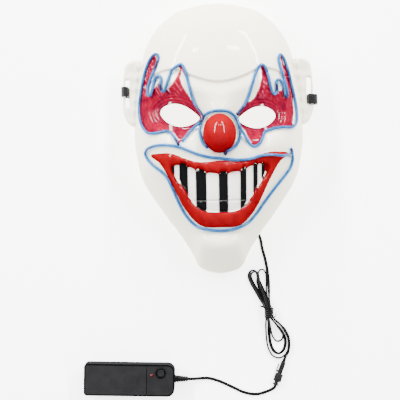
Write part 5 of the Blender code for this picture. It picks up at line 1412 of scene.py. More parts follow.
    def face_sheet(self) -> tuple[Array, list, dict[str, Array], int]:
        """Build the closed sheet of the face.

        Returns:
            Its corners, its faces, the paint distances at its corners, and how many of the
            corners lie on the outer skin.
        """
        form = self.form
        holes = self.holes()
        loops = [form.outline, *holes]
        border = np.vstack(loops)
        top_points = self.plan_points(self.fine, self.coarse, holes)
        low_points = self.plan_points(self.inner_step, self.inner_step, holes)
        top = np.vstack([border, top_points])
        low = np.vstack([border, low_points])
        outer = np.column_stack([top, form.height(top[:, 0], top[:, 1])])
        inner = np.column_stack([low, form.height(low[:, 0], low[:, 1])])
        normals = form.normal(low[:, 0], low[:, 1])
        flat = normals * (1.0, 1.0, 0.0)
        flat /= np.linalg.norm(flat, axis=1, keepdims=True) + 1e-12
        at_rim = form.rim_share(low[:, 0], low[:, 1]) > 0.9995
        inner -= form.wall * np.where(at_rim[:, None], flat, normals)
        second = len(outer)
        faces = [tuple(t) for t in self.triangles(loops, top_points)]
        faces += [tuple(second + i for i in t[::-1]) for t in self.triangles(loops, low_points)]
        faces += wall_faces(loops, second)
        seen = self.marks(top[:, 0], top[:, 1], True)
        hidden = self.marks(low[:, 0], low[:, 1], False)
        marks = {name: np.concatenate([seen[name], hidden[name]]) for name in seen}
        return np.vstack([outer, inner]), faces, marks, len(outer)

    def marks(self, x: Array, y: Array, painted: bool) -> dict[str, Array]:
        """Measure, in millimetres, how far points lie inside each painted area.

        Args:
            x: Plan x of the points.
            y: Plan y of the points.
            painted: False for a side that the paint doesn't reach.

        Returns:
            The distances by name.
        """
        if not painted:
            areas = ("nose", "below_nose", "lips", "mouth", "dark", "patch", "above_eye")
            lines = ("tooth_edge", "bite", "socket", "wire", "crease")
            far = {name: np.full(len(x), OFF) for name in areas}
            return far | {name: np.full(len(x), -OFF) for name in lines}
        form = self.form
        r = np.hypot(x / form.nose_half[0], (y - form.nose_y) / form.nose_half[1])
        in_teeth = form.in_teeth(x, y)
        in_teeth = np.minimum(in_teeth, 0.925 * form.teeth_half - x)
        lips = inside_distance(x, y, form.lip_outer)
        i, _ = form.tooth_at(x)
        gap = np.minimum(x - form.edges[i], form.edges[i + 1] - x)
        eyes = np.array([-inside_distance(x, y, loop) for loop in form.eyes])
        wires = [line_distance(x, y, wire_plan(form, w.route, 160), False) for w in WIRES]
        middles = np.array([loop[:, 1].max() for loop in form.eyes])
        return {
            "nose": (1 - r) * form.nose_half[0] / MM,
            "below_nose": (form.nose_y - y) / MM,
            "lips": lips / MM,
            "mouth": in_teeth / MM,
            "dark": np.where(form.is_dark[i], gap, -gap) / MM,
            "tooth_edge": gap / MM,
            "bite": (y - form.bite_y) / MM,
            "patch": self.patch(x, y) / MM,
            "socket": eyes.min(axis=0) / MM,
            "above_eye": (y - middles[(x > 0).astype(int)]) / MM,
            "wire": np.min(wires, axis=0) / MM,
            "crease": (y - read_table(CREASE, x / form.half_w) * form.half_h) / MM,
        }

    def patch(self, x: Array, y: Array) -> Array:
        """Measure how far points lie inside the eye patches' paint, in metres."""
        form = self.form
        best = np.full(len(x), OFF * MM)
        for wire, bare in ((WIRES[0], BARE_LEFT), (WIRES[1], BARE_RIGHT)):
            inside = inside_distance(x, y, wire_plan(form, wire.route, 150)) - 0.0002
            for area in bare:
                loop = smooth_through(form.plan(area), 40, True)
                inside = np.minimum(inside, -inside_distance(x, y, loop))
            best = np.maximum(best, inside)
        return best

    def ear_middle(self, x: Array) -> Array:
        """Return the height of the ears' mid plane."""
        return 0.030 - 0.010 * np.clip((np.abs(x) - self.ear_root) / self.ear_reach, 0.0, 1.0)

    def ear_wall(self, y: float) -> float:
        """Return where an ear's root ends inside the shell's wall."""
        form = self.form
        xs = np.linspace(0.5 * form.half_w, form.half_w, 400)
        over = form.height(xs, np.full_like(xs, y)) > self.ear_middle(xs)
        return xs[over].max() - form.wall * 0.55

    def ear_loops(self) -> tuple[Array, Array, Array]:
        """Draw the right ear's free edge, its whole outline and its strap slot."""
        root, reach, bottom = self.ear_root, self.ear_reach, self.ear_bottom
        edge = [(root + share * reach, bottom + t * self.ear_height) for share, t in EAR_EDGE]
        free = smooth_through(edge, 90, False)
        heights = np.linspace(bottom + 0.001, bottom + self.ear_height - 0.002, 34)
        outline = np.vstack([free, [(self.ear_wall(y), y) for y in heights]])
        cx, cy = root + reach - self.slot_strip - self.slot_width / 2, 0.33 * self.form.half_h
        corners = rounded(self.slot_width / 2, self.slot_length / 2, self.slot_width * 0.3)
        return free, outline, np.array([(cx + x, cy + y) for x, y in corners])

    def ear_plan(self, outline: Array, slot: Array) -> Array:
        """Lay staggered points over the right ear, its two loops first."""
        step = 0.0009
        gx, gy = np.meshgrid(
            np.arange(self.ear_root - 0.002, self.ear_root + self.ear_reach, step),
            np.arange(self.ear_bottom, self.ear_bottom + self.ear_height, step * 0.87),
        )
        gx[1::2] += step / 2
        grid = np.column_stack([gx.ravel(), gy.ravel()])
        grid = grid[inside_distance(grid[:, 0], grid[:, 1], outline) > step * 0.4]
        grid = grid[inside_distance(grid[:, 0], grid[:, 1], slot) < -step * 0.4]
        return np.vstack([outline, slot, grid])

    def ear_shape(self, plan: Array, free: Array, slot: Array) -> tuple[Array, Array]:
        """Work out the ear's half thickness and the relief of its folds.

        Args:
            plan: Its plan points.
            free: Its free edge.
            slot: Its strap slot.

        Returns:
            The half thickness and the relief at each point.
        """
        x, y = plan.T
        depth = np.maximum(inside_distance(x, y, free), 0.0)
        depth = np.where(x < self.ear_root + 0.004, np.maximum(depth, 0.004), depth)
        from_slot = np.maximum(-inside_distance(x, y, slot), 0.0)
        thin = np.sqrt(np.clip(1 - (1 - np.minimum(depth, 0.0011) / 0.0011) ** 2, 0.03, 1.0))
        thin *= np.sqrt(np.clip(1 - (1 - np.minimum(from_slot, 0.0005) / 0.0005) ** 2, 0.3, 1.0))
        t = (y - self.ear_bottom) / self.ear_height
        inward = 1 - np.clip((x - self.ear_root) / self.ear_reach, 0.0, 1.0)
        helix = 0.0015 * np.exp(-(((depth - 0.0026) / 0.0016) ** 2))
        fold = 0.0012 * np.exp(-(((depth - 0.0085 - 0.0015 * np.sin(9 * t)) / 0.0016) ** 2))
        knob = 0.0020 * inward * np.sin(y / self.ear_height * 6 * math.pi) ** 2
        relief = (helix + fold * ease(t / 0.2) + knob) * ease(from_slot / 0.002)
        return self.ear_thickness / 2 * thin, relief

    def ear(self, side: int) -> tuple[Array, list]:
        """Build one ear with its folds and its strap slot, rooted in the shell's wall.

        Args:
            side: -1 for the left of the picture, 1 for the right.

        Returns:
            Corners and faces of the closed ear.
        """
        free, outline, slot = self.ear_loops()
        plan = self.ear_plan(outline, slot)
        half, relief = self.ear_shape(plan, free, slot)
        middle = self.ear_middle(plan[:, 0])
        top = np.column_stack([plan[:, 0] * side, plan[:, 1], middle + half + relief])
        low = np.column_stack([plan[:, 0] * side, plan[:, 1], middle - half])
        edges = []
        for base, loop in ((0, outline), (len(outline), slot)):
            edges += [(base + i, base + (i + 1) % len(loop)) for i in range(len(loop))]
        coords = [Vector(p) for p in plan]
        out, _, tris, origin, _, _ = delaunay_2d_cdt(coords, edges, [], 0, 1e-9)
        where, tris = np.array([tuple(p) for p in out]), np.array(tris)
        centre = where[tris].mean(axis=1)
        keep = inside_distance(centre[:, 0], centre[:, 1], outline) > 0
        keep &= inside_distance(centre[:, 0], centre[:, 1], slot) < 0
        kept = np.array([o[0] for o in origin])[tris[keep]]
        second = len(plan)
        faces = [tuple(t) for t in kept] + [tuple(second + i for i in t[::-1]) for t in kept]
        return np.vstack([top, low]), faces + wall_faces([outline, slot], second)


@dataclass
class Splice:
    """Sleeve inside the jaw where the four wires meet the lead."""

    form: FaceForm
    diameter: float = 0.0095
    length: float = 0.018
    seat: float = 0.0009
    across: float = 0.30
    up: float = -0.52
    turn: float = -64.0

    def place(self) -> tuple[Vector, Vector, Vector, Vector]:
        """Return the sleeve's middle, its axis, and its side and up directions."""
        x, y = self.across * self.form.half_w, self.up * self.form.half_h
        reach = self.form.wall + self.diameter / 2 + self.seat
        turn = math.radians(self.turn)
        ends = []
        for share in (-0.5, 0.5):
            px = np.array([x + share * self.length * math.cos(turn)])
            py = np.array([y + share * self.length * math.sin(turn)])
            ends.append(Vector((px[0], py[0], float(self.form.rest_height(px, py, reach, -1)[0]))))
        axis = (ends[1] - ends[0]).normalized()
        side = axis.cross(Vector((0.0, 0.0, 1.0))).normalized()
        return (ends[0] + ends[1]) / 2, axis, side, side.cross(axis)


@dataclass
class GlowWires:
    """The four glow wires: seated on the face, and down through their holes to the splice."""

    form: FaceForm
    splice: Splice
    diameter: float = 0.0028
    step: float = 0.0011

    def build(self) -> list[bpy.types.Object]:
        """Build and dress the four wires."""
        finish = GlowTube().material()
        return [self.wire(wire, finish) for wire in WIRES]

    def wire(self, wire: Wire, finish: bpy.types.Material) -> bpy.types.Object:
        """Build one wire.

        Args:
            wire: Its route and places.
            finish: Its material.

        Returns:
            The wire's object.
        """
        form, radius = self.form, self.diameter / 2
        rise = self.diameter + 0.0003
        knots = [(a * form.half_w, u * form.half_h, lift * rise) for a, u, lift in wire.route]
        rough = smooth_through(knots, 400, False)
        count = round(np.linalg.norm(np.diff(rough, axis=0), axis=1).sum() / self.step)
        x, y, lift = smooth_through(knots, count, False).T
        z = form.rest_height(x, y, radius + 0.00005, 1)
        padded = np.pad(z, 2, mode="edge")
        z = np.max([padded[k:k + len(z)] for k in range(5)], axis=0) + lift
        soft = np.pad(z, 1, mode="edge")
        z = np.maximum(z, (soft[:-2] + soft[2:]) / 2)
        face = np.column_stack([x, y, z])
        points = np.vstack([self.tail(wire, face), face[2:]])
        verts, faces = sweep(points, circle(radius, 12), np.zeros(len(points)))
        mesh = new_mesh(wire.name, verts, faces, 60)
        where = np.array([tuple(v) for v in verts])
        shade = np.zeros(len(verts))
        for across, up, reach in wire.dark:
            spot = np.array((across * form.half_w, up * form.half_h))
            gap = np.linalg.norm(where[:, :2] - spot, axis=1) / MM
            shade = np.maximum(shade, ease((reach - gap) / 1.6 + 0.5))
        hidden = where[:, 2] < form.height(where[:, 0], where[:, 1]) - MM
        set_attribute(mesh, "dark", np.maximum(shade, hidden))
        return add_piece(wire.name, mesh, finish, [wire.node])

    def tail(self, wire: Wire, face: Array) -> Array:
        """Lead a wire's live end from the splice up through its hole.

        Args:
            wire: The wire.
            face: Its line on the face.

        Returns:
            The line of the hidden stretch, the splice first.
        """
        form, splice = self.form, self.splice
        middle, axis, side, over = splice.place()
        across, above = wire.place
        spacing = self.diameter / 2 + 0.0005
        end = middle - axis * (splice.length / 2 + 0.0003) + (side * across + over * above) * spacing
        approach = end - axis * 0.006
        x, y = face[:1, 0], face[:1, 1]
        hole = Vector((x[0], y[0], float(form.height(x, y)[0])))
        normal = Vector(form.normal(x, y)[0])
        under = form.wall + self.diameter / 2 + splice.seat
        low = hole - normal * (under + 0.001)
        route = [(low.x, low.y), *(form.plan(wire.tail)), (approach.x, approach.y)]
        inner = smooth_through(route, 40, False)[1:-1]
        share = np.linspace(0.0, 1.0, 40)[1:-1]
        straight = low.z + (approach.z - low.z) * share
        roof = form.rest_height(inner[:, 0], inner[:, 1], under, -1)
        z = np.minimum(straight, roof) - 0.003 * np.sin(share * math.pi)
        hidden = np.column_stack([inner, z])[::-1]
        seat = self.diameter / 2 + 0.0007
        last = (tuple(low), tuple(hole + normal * seat), tuple(face[2]))
        knots = [tuple(end), tuple(approach), *hidden[2:-2:3], *last]
        return smooth_through(knots, 110, False)[:-1]


@dataclass
class HeadStrap:
    """Ribbed black elastic through both ear slots, its ends lapped back and sewn."""

    width: float = 0.010
    thickness: float = 0.0012
    slot: float = EAR_ROOT + EAR_REACH - SLOT_STRIP - SLOT_WIDTH / 2
    edge: float = EAR_ROOT + EAR_REACH
    lap: float = 0.024
    lap_gap: float = 0.0001
    left_slack: float = 0.0006
    right_slack: float = 0.0032
    left_y: float = 0.348 * HALF_HEIGHT
    right_y: float = 0.272 * HALF_HEIGHT
    ribs: int = 8

    def path(self) -> Array:
        """Return the strap's middle line across and up, from one lapped end to the other."""
        floor = FLOOR_GAP + self.thickness / 2
        lap = floor + self.thickness + self.lap_gap
        edge_z, half = 0.020, self.thickness / 2
        over = 0.0012 + half + 0.0024
        slot = self.slot

        def side(slack: float) -> list[tuple[float, float]]:
            """Return one end's knots."""
            out = self.edge + half + slack
            return [
                (slot - self.lap, lap), (slot - 0.014, lap), (slot - 0.0095, lap + 0.0003),
                (slot - 0.0045, lap + 0.0018), (slot - 0.0012, lap + 0.0065),
                (slot - 0.0002, edge_z - 0.0050), (slot - 0.0004, edge_z + 0.0010),
                (slot + 0.0003, edge_z + over + 0.0006), (slot + 0.0030, edge_z + over + 0.0010),
                (out - 0.0010, edge_z + over - 0.0010), (out, edge_z - 0.0002),
                (out - 0.0002, edge_z - 0.0080), (out - 0.0016, floor + 0.0050),
                (out - 0.0050, floor + 0.0010), (out - 0.0095, floor), (slot - 0.012, floor),
            ]

        left = smooth_through([(-x, z) for x, z in side(self.left_slack)], 110, False)
        right = smooth_through(side(self.right_slack)[::-1], 110, False)
        return np.vstack([left, right])

    def build(self) -> list[bpy.types.Object]:
        """Build the strap and the stitches of its laps."""
        path = self.path()
        share = (path[:, 0] / self.edge + 1) / 2
        y = self.left_y + (self.right_y - self.left_y) * share
        points = np.column_stack([path[:, 0], y, path[:, 1]])
        steps = np.linspace(-1.0, 1.0, self.ribs * 6 + 1)
        rib = np.cos(steps * math.pi * self.ribs) * 0.00013
        half = self.thickness / 2 - 0.00013 + rib
        half[[0, -1]] *= 0.35
        wide = steps * self.width / 2
        profile = np.vstack([np.column_stack([half, wide]), np.column_stack([-half, wide])[::-1]])
        verts, faces = sweep(points, profile, np.zeros(len(points)), up=(0.0, 1.0, 0.0))
        mesh = new_mesh("elastic_strap", verts, faces, 70)
        along = np.concatenate([[0.0], np.cumsum(np.linalg.norm(np.diff(points, axis=0), axis=1))]) / MM
        along = np.concatenate([along[:1], along, along[-1:]])
        set_attribute(mesh, "along", np.repeat(along, len(profile)))
        set_attribute(mesh, "across", np.tile(profile[:, 1] / MM, len(along)))
        strap = add_piece("elastic_strap", mesh, Elastic().material(), ["head_strap"])
        return [strap, self.stitches()]

    def stitches(self) -> bpy.types.Object:
        """Sew two cross rows through each lap."""
        parts = []
        rise = FLOOR_GAP + self.thickness * 2 + self.lap_gap + 0.00022
        for side, y in ((-1, self.left_y), (1, self.right_y)):
            for row in (0.013, 0.0165):
                for k in range(7):
                    middle = y + (k - 3) * 0.0013
                    x = side * (self.slot - row - 0.004)
                    arc = np.linspace(-1, 1, 7)
                    line = [(x, middle + t * 0.0005, rise - 0.0005 * t * t) for t in arc]
                    parts.append(sweep(np.array(line), circle(0.00018, 8), np.zeros(7)))
        mesh = new_mesh("strap_stitches", *together(parts), 60)
        thread = Plastic("strap_thread", (0.004, 0.004, 0.0045), 0.7)
        return add_piece("strap_stitches", mesh, thread.material())


@dataclass
class Cable:
    """Flat twin cable, two round cores side by side."""

    width: float = 0.0033
    height: float = 0.0018

    def profile(self) -> Array:
        """Return its figure-of-eight section."""
        half, radius = (self.width - self.height) / 2, self.height / 2
        turns = np.radians(np.arange(-125, 126, 25))
        right = [(half + radius * math.cos(t), radius * math.sin(t)) for t in turns]
        return np.array(right + [(-x, -y) for x, y in right])

    def lay(
        self, name: str, points: Array, rolls: Array, finish: bpy.types.Material
    ) -> bpy.types.Object:
        """Build one length of it.

        Args:
            name: The piece's name.
            points: Its line.
            rolls: Its turn about the line at each point.
            finish: Its material.

        Returns:
            The object.
        """
        verts, faces = sweep(points, self.profile(), rolls)
        return add_piece(name, new_mesh(name, verts, faces, 75), finish)


def path_length(points: Array) -> float:
    """Return the length of a polyline."""
    return float(np.linalg.norm(np.diff(points, axis=0), axis=1).sum())


@dataclass
class Lead:
    """The mask's lead in one piece: from the splice, through its tied hank, to the connector."""

    splice: Splice
    cable: Cable
    finish: bpy.types.Material
    step: float = 0.0010
    layer: float = 1.22

    def path(self, connector_end: Vector, ahead: Vector) -> tuple[Array, Array]:
        """Return the cable's line and its rolls.

        Args:
            connector_end: Where the line meets the connector.
            ahead: The connector's direction.

        Returns:
            Points and the turn of the cable about the line at each.
        """
        middle, axis, _, _ = self.splice.place()
        start = middle + axis * (self.splice.length / 2 + 0.0003)
        rest = self.cable.height / 2 + 0.0001
        knots = [tuple(start), tuple(start + axis * 0.005)]
        knots += [(x, y, z + rest) for x, y, z in LEAD_ROUTE]
        free = len(knots)
        knots += [(x * MM, y * MM, z * MM * self.layer) for section in HANK for x, y, z in section]
        knots += [tuple(connector_end - ahead * 0.0042 + Vector((0, 0, 0.0002))), tuple(connector_end)]
        rough = smooth_through(knots, 3000, False)
        line = evenly(rough, round(path_length(rough) / self.step), False)
        hank_from = int(np.argmin(np.linalg.norm(line - knots[free], axis=1)))
        along = np.arange(len(line)) * self.step
        edge = ease((along - along[hank_from] + 0.012) / 0.020)
        edge *= 1 - ease((along - along[-1] + 0.008) / 0.007)
        flat = self.flat_share(line, knots, free)
        rolls = edge * (1 - flat) * math.pi / 2
        line[hank_from:, 2] -= flat[hank_from:] * (self.cable.width - self.cable.height) / 2
        half_width, half_height = self.cable.width / 2, self.cable.height / 2
        low = np.abs(np.sin(rolls)) * half_width + np.abs(np.cos(rolls)) * half_height + 0.00005
        line[:, 2] = np.maximum(line[:, 2], low)
        return line, rolls

    def flat_share(self, line: Array, knots: list, free: int) -> Array:
        """Work out where the hank's legs lie flat: away from the waist and from the folds.

        Args:
            line: The cable's line.
            knots: The knots it runs through.
            free: The first knot of the hank.

        Returns:
            A share from 0 to 1 for each point.
        """
        wanted = [0.0] * free
        wanted += [float(section in LAID_FLAT) for section in HANK for _ in section]
        wanted += [0.0, 0.0]
        nearest, at = [], 0
        for knot in knots:
            at += int(np.argmin(np.linalg.norm(line[at:at + 60] - knot, axis=1)))
            nearest.append(at)
        share = np.interp(np.arange(len(line)), nearest, wanted)
        ahead = np.gradient(line, axis=0)
        ahead /= np.linalg.norm(ahead, axis=1, keepdims=True)
        turn = np.linalg.norm(np.gradient(ahead, axis=0), axis=1) / self.step
        share *= ease((np.abs(line[:, 1] - WAIST_Y) - 0.009) / 0.008) * ease((180.0 - turn) / 80.0)
        soft = np.ones(9) / 9
        return np.convolve(np.pad(share, 4, mode="edge"), soft, "valid")

    def build(
        self, connector_end: Vector, ahead: Vector, with_pieces: Sequence = ()
    ) -> bpy.types.Object:
        line, rolls = self.path(connector_end, ahead)
        obj = self.cable.lay("mask_cable", line, rolls, self.finish)
        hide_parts("mask_lead", "lead_hank", "lead_tail")
        return obj


@dataclass
class TwistTie:
    """Coated wire tie wound round the hank's waist, its ends splayed."""

    place: tuple[float, float] = (0.0496, WAIST_Y)
    width: float = 0.0021
    thickness: float = 0.0006
    turns: int = 4
    pitch: float = 0.00225
    half: float = 0.0045
    high: float = 0.0106
    corner: float = 0.0024

    def build(self, finish: bpy.types.Material) -> bpy.types.Object:
        """Build the windings and both ends."""
        loop = np.array(rounded(self.half, self.high / 2, self.corner)) + (0.0, self.high / 2)
        loop = evenly(loop, 40, True)
        wound = []
        for k in range(self.turns * 40 + 1):
            x, z = loop[k % 40]
            share = k / 40
            y = self.place[1] - 0.0026 + share * self.pitch + 0.0002 * math.sin(7 * share)
            wound.append((self.place[0] + x, y, z))
        wound = np.array(wound)
        wound[:, 2] = np.maximum(wound[:, 2], self.thickness / 2 + 0.00005)
        knots = [*self.first_end(wound[0]), *wound[1:-1:2], *self.last_end(wound[-1])]
        line = smooth_through(knots, 420, False)
        profile = self.profile()
        middle = np.array((self.place[0], 0.0, self.high / 2))
        verts, faces = self.wrap(line, profile, middle)
        mesh = new_mesh("wire_tie", verts, faces, 60)
        return add_piece("wire_tie", mesh, finish, ["twist_tie"])

    def profile(self) -> Array:
        """Return the tie's section: a wire in the middle of a thin ribbon."""
        half, thin = self.width / 2, self.thickness * 0.22
        right = [(half * 0.85, thin), (half * 0.35, thin), (half * 0.2, thin * 1.9)]
        top = [(half, 0.0), *right, (0.0, self.thickness / 2), *((-x, y) for x, y in right[::-1])]
        return np.array(top + [(-x, -y) for x, y in top])

    def first_end(self, start: Array) -> list[Array]:
        """Return the knots of the end that splays to the right, tip first."""
        tip = ((0.0030, 0.0062, -0.0028), (0.0026, 0.0030, -0.0022), (0.0013, 0.0006, -0.0010))
        return [*(start + step for step in tip), start]

    def last_end(self, end: Array) -> list[Array]:
        """Return the knots of the end that splays to the left, tip last."""
        tip = ((-0.0030, 0.0010, 0.0008), (-0.0080, 0.0014, 0.0006), (-0.0136, 0.0030, -0.0016))
        return [end, *(end + step for step in tip)]

    def wrap(self, line: Array, profile: Array, middle: Array) -> tuple[list, list]:
        """Sweep the ribbon with its flat side towards the hank's middle.

        Args:
            line: The ribbon's line.
            profile: Its section.
            middle: A point on the axis that it is wound round.

        Returns:
            Corners and faces.
        """
        ahead = np.gradient(line, axis=0)
        ahead /= np.linalg.norm(ahead, axis=1, keepdims=True)
        out = (line - middle) * (1.0, 0.0, 1.0)
        out /= np.linalg.norm(out, axis=1, keepdims=True)
        soft = np.ones(25) / 25
        out = np.column_stack([np.convolve(np.pad(c, 12, mode="edge"), soft, "valid") for c in out.T])
        side = np.cross(ahead, out)
        side /= np.linalg.norm(side, axis=1, keepdims=True)
        over = np.cross(side, ahead)
        rings = [p + profile[:, :1] * s + profile[:, 1:] * o for p, s, o in zip(line, side, over)]
        return tube(rings)


@dataclass
class Connector:
    """Mated two-pin connector: a slim latched plug in a wider socket with a gripped neck."""

    at: tuple[float, float] = (0.0642, -0.2349)
    turn: float = -110.5
    plug_length: float = 0.0128
    plug_width: float = 0.0047
    height: float = 0.0052
    latch_length: float = 0.0095
    socket_length: float = 0.0085
    socket_width: float = 0.0080
    collar: float = 0.0040

    def matrix(self) -> Matrix:
        """Return the connector's place: x runs from the mask's lead to the case's."""
        turn = Matrix.Rotation(math.radians(self.turn), 4, "Z")
        return Matrix.Translation((*self.at, FLOOR_GAP + self.height / 2)) @ turn

    def line(self) -> tuple[Vector, Vector, Vector]:
        """Return the plug's back, the socket's end and the direction between them."""
        matrix = self.matrix()
        total = self.plug_length + self.socket_length + self.collar + 0.0006
        ahead = matrix.to_3x3() @ Vector((1, 0, 0))
        return matrix @ Vector((0, 0, 0)), matrix @ Vector((total, 0, 0)), ahead

    def build(self) -> list[bpy.types.Object]:
        """Build the plug and the socket."""
        nylon = Plastic("connector_nylon", (0.007, 0.007, 0.0075), 0.42, Grain.SATIN, coat=0.1)
        finish = nylon.material()
        plug = add_piece("plug_housing", self.plug(), finish, ["connector_plug"])
        socket = add_piece("socket_housing", self.socket(), finish, ["connector_socket"])
        return [plug, socket]

    def plug(self) -> bpy.types.Mesh:
        """Shape the plug: key ribs, wire windows and a latch arm with a ribbed thumb end."""
        half_w, half_h, end = self.plug_width / 2, self.height / 2, self.plug_length
        plug = Solid("plug_core", bar("plug_core", (0.0, end), half_w, (-half_h, half_h)))
        plug.bevel(0.00045, 3)
        for x in (0.0024, 0.0062):
            name = f"window_{round(x * 1e4)}"
            window = bar(name, (x, x + 0.0018), 0.0012, (half_h - 0.0007, half_h + 0.001))
            plug.combine(window, "DIFFERENCE", 0.00015)
        low = -half_w - 0.0022
        first = end - self.latch_length
        seam, root = (-half_w - 0.001, -half_w + 0.00018), (low + 0.0006, -half_w + 0.0006)
        ridge = (low - 0.00025, low + 0.0004)
        pieces = [
            ("plug_seam", (0.0010, end - 0.0012), seam, 0.00012, 0.0),
            ("latch_arm", (first, end - 0.0006), (low, low + 0.0010), 0.0014, 0.00030),
            ("latch_root", (end - 0.0026, end - 0.0008), root, 0.0014, 0.00020),
        ]
        for k in range(3):
            x = first + 0.0006 + 0.0009 * k
            pieces.append((f"thumb_rib_{k}", (x, x + 0.0004), ridge, 0.0013, 0.00012))
        for name, along, across, half, edge in pieces:
            mesh = block(name, (along[0], across[0], -half), (along[1], across[1], half))
            plug.combine(mesh, "UNION" if edge else "DIFFERENCE", edge)
        return plug.done(self.matrix())

    def socket(self) -> bpy.types.Mesh:
        """Shape the socket: a mouth round the plug, side windows, and a gripped neck."""
        start = self.plug_length + 0.0003
        end = start + self.socket_length
        half_w, half_s, half_h = self.plug_width / 2, self.socket_width / 2, self.height / 2
        top = half_h + 0.0006
        socket = Solid("socket_core", bar("socket_core", (start, end), half_s, (-half_h, top)))
        socket.bevel(0.0006, 3)
        mouth_up = (-half_h + 0.0008, top - 0.0008)
        mouth = bar("socket_mouth", (start - 0.001, start + 0.0011), half_s - 0.0009, mouth_up)
        socket.combine(mouth, "DIFFERENCE", 0.0003)
        low = (start + 0.0022, -half_s - 0.001, -0.0013)
        high = (start + 0.0046, -half_s + 0.0008, 0.0013)
        window = block("latch_window", low, high)
        socket.combine(window, "DIFFERENCE", 0.0002)
        band_up = (top - 0.00025, top + 0.001)
        band = bar("socket_band", (end - 0.0021, end - 0.0013), half_s - 0.0008, band_up)
        socket.combine(band, "DIFFERENCE")
        tip = end + self.collar
        neck_up = (-half_h * 0.8, half_h * 0.8)
        neck = bar("socket_neck", (end - 0.0008, tip - 0.0004), half_w * 0.8, neck_up)
        socket.combine(neck, "UNION", 0.0006)
        flange = bar("socket_flange", (tip - 0.0016, tip), 0.0031, (-half_h, half_h))
        socket.combine(flange, "UNION", 0.0004)
        for k in range(2):
            x = end + 0.0004 + 0.0009 * k
            rib_up = (-half_h * 0.9, half_h * 0.9)
            rib = bar(f"neck_rib_{k}", (x, x + 0.0004), half_w * 0.92, rib_up)
            socket.combine(rib, "UNION", 0.00015)
        return socket.done(self.matrix())


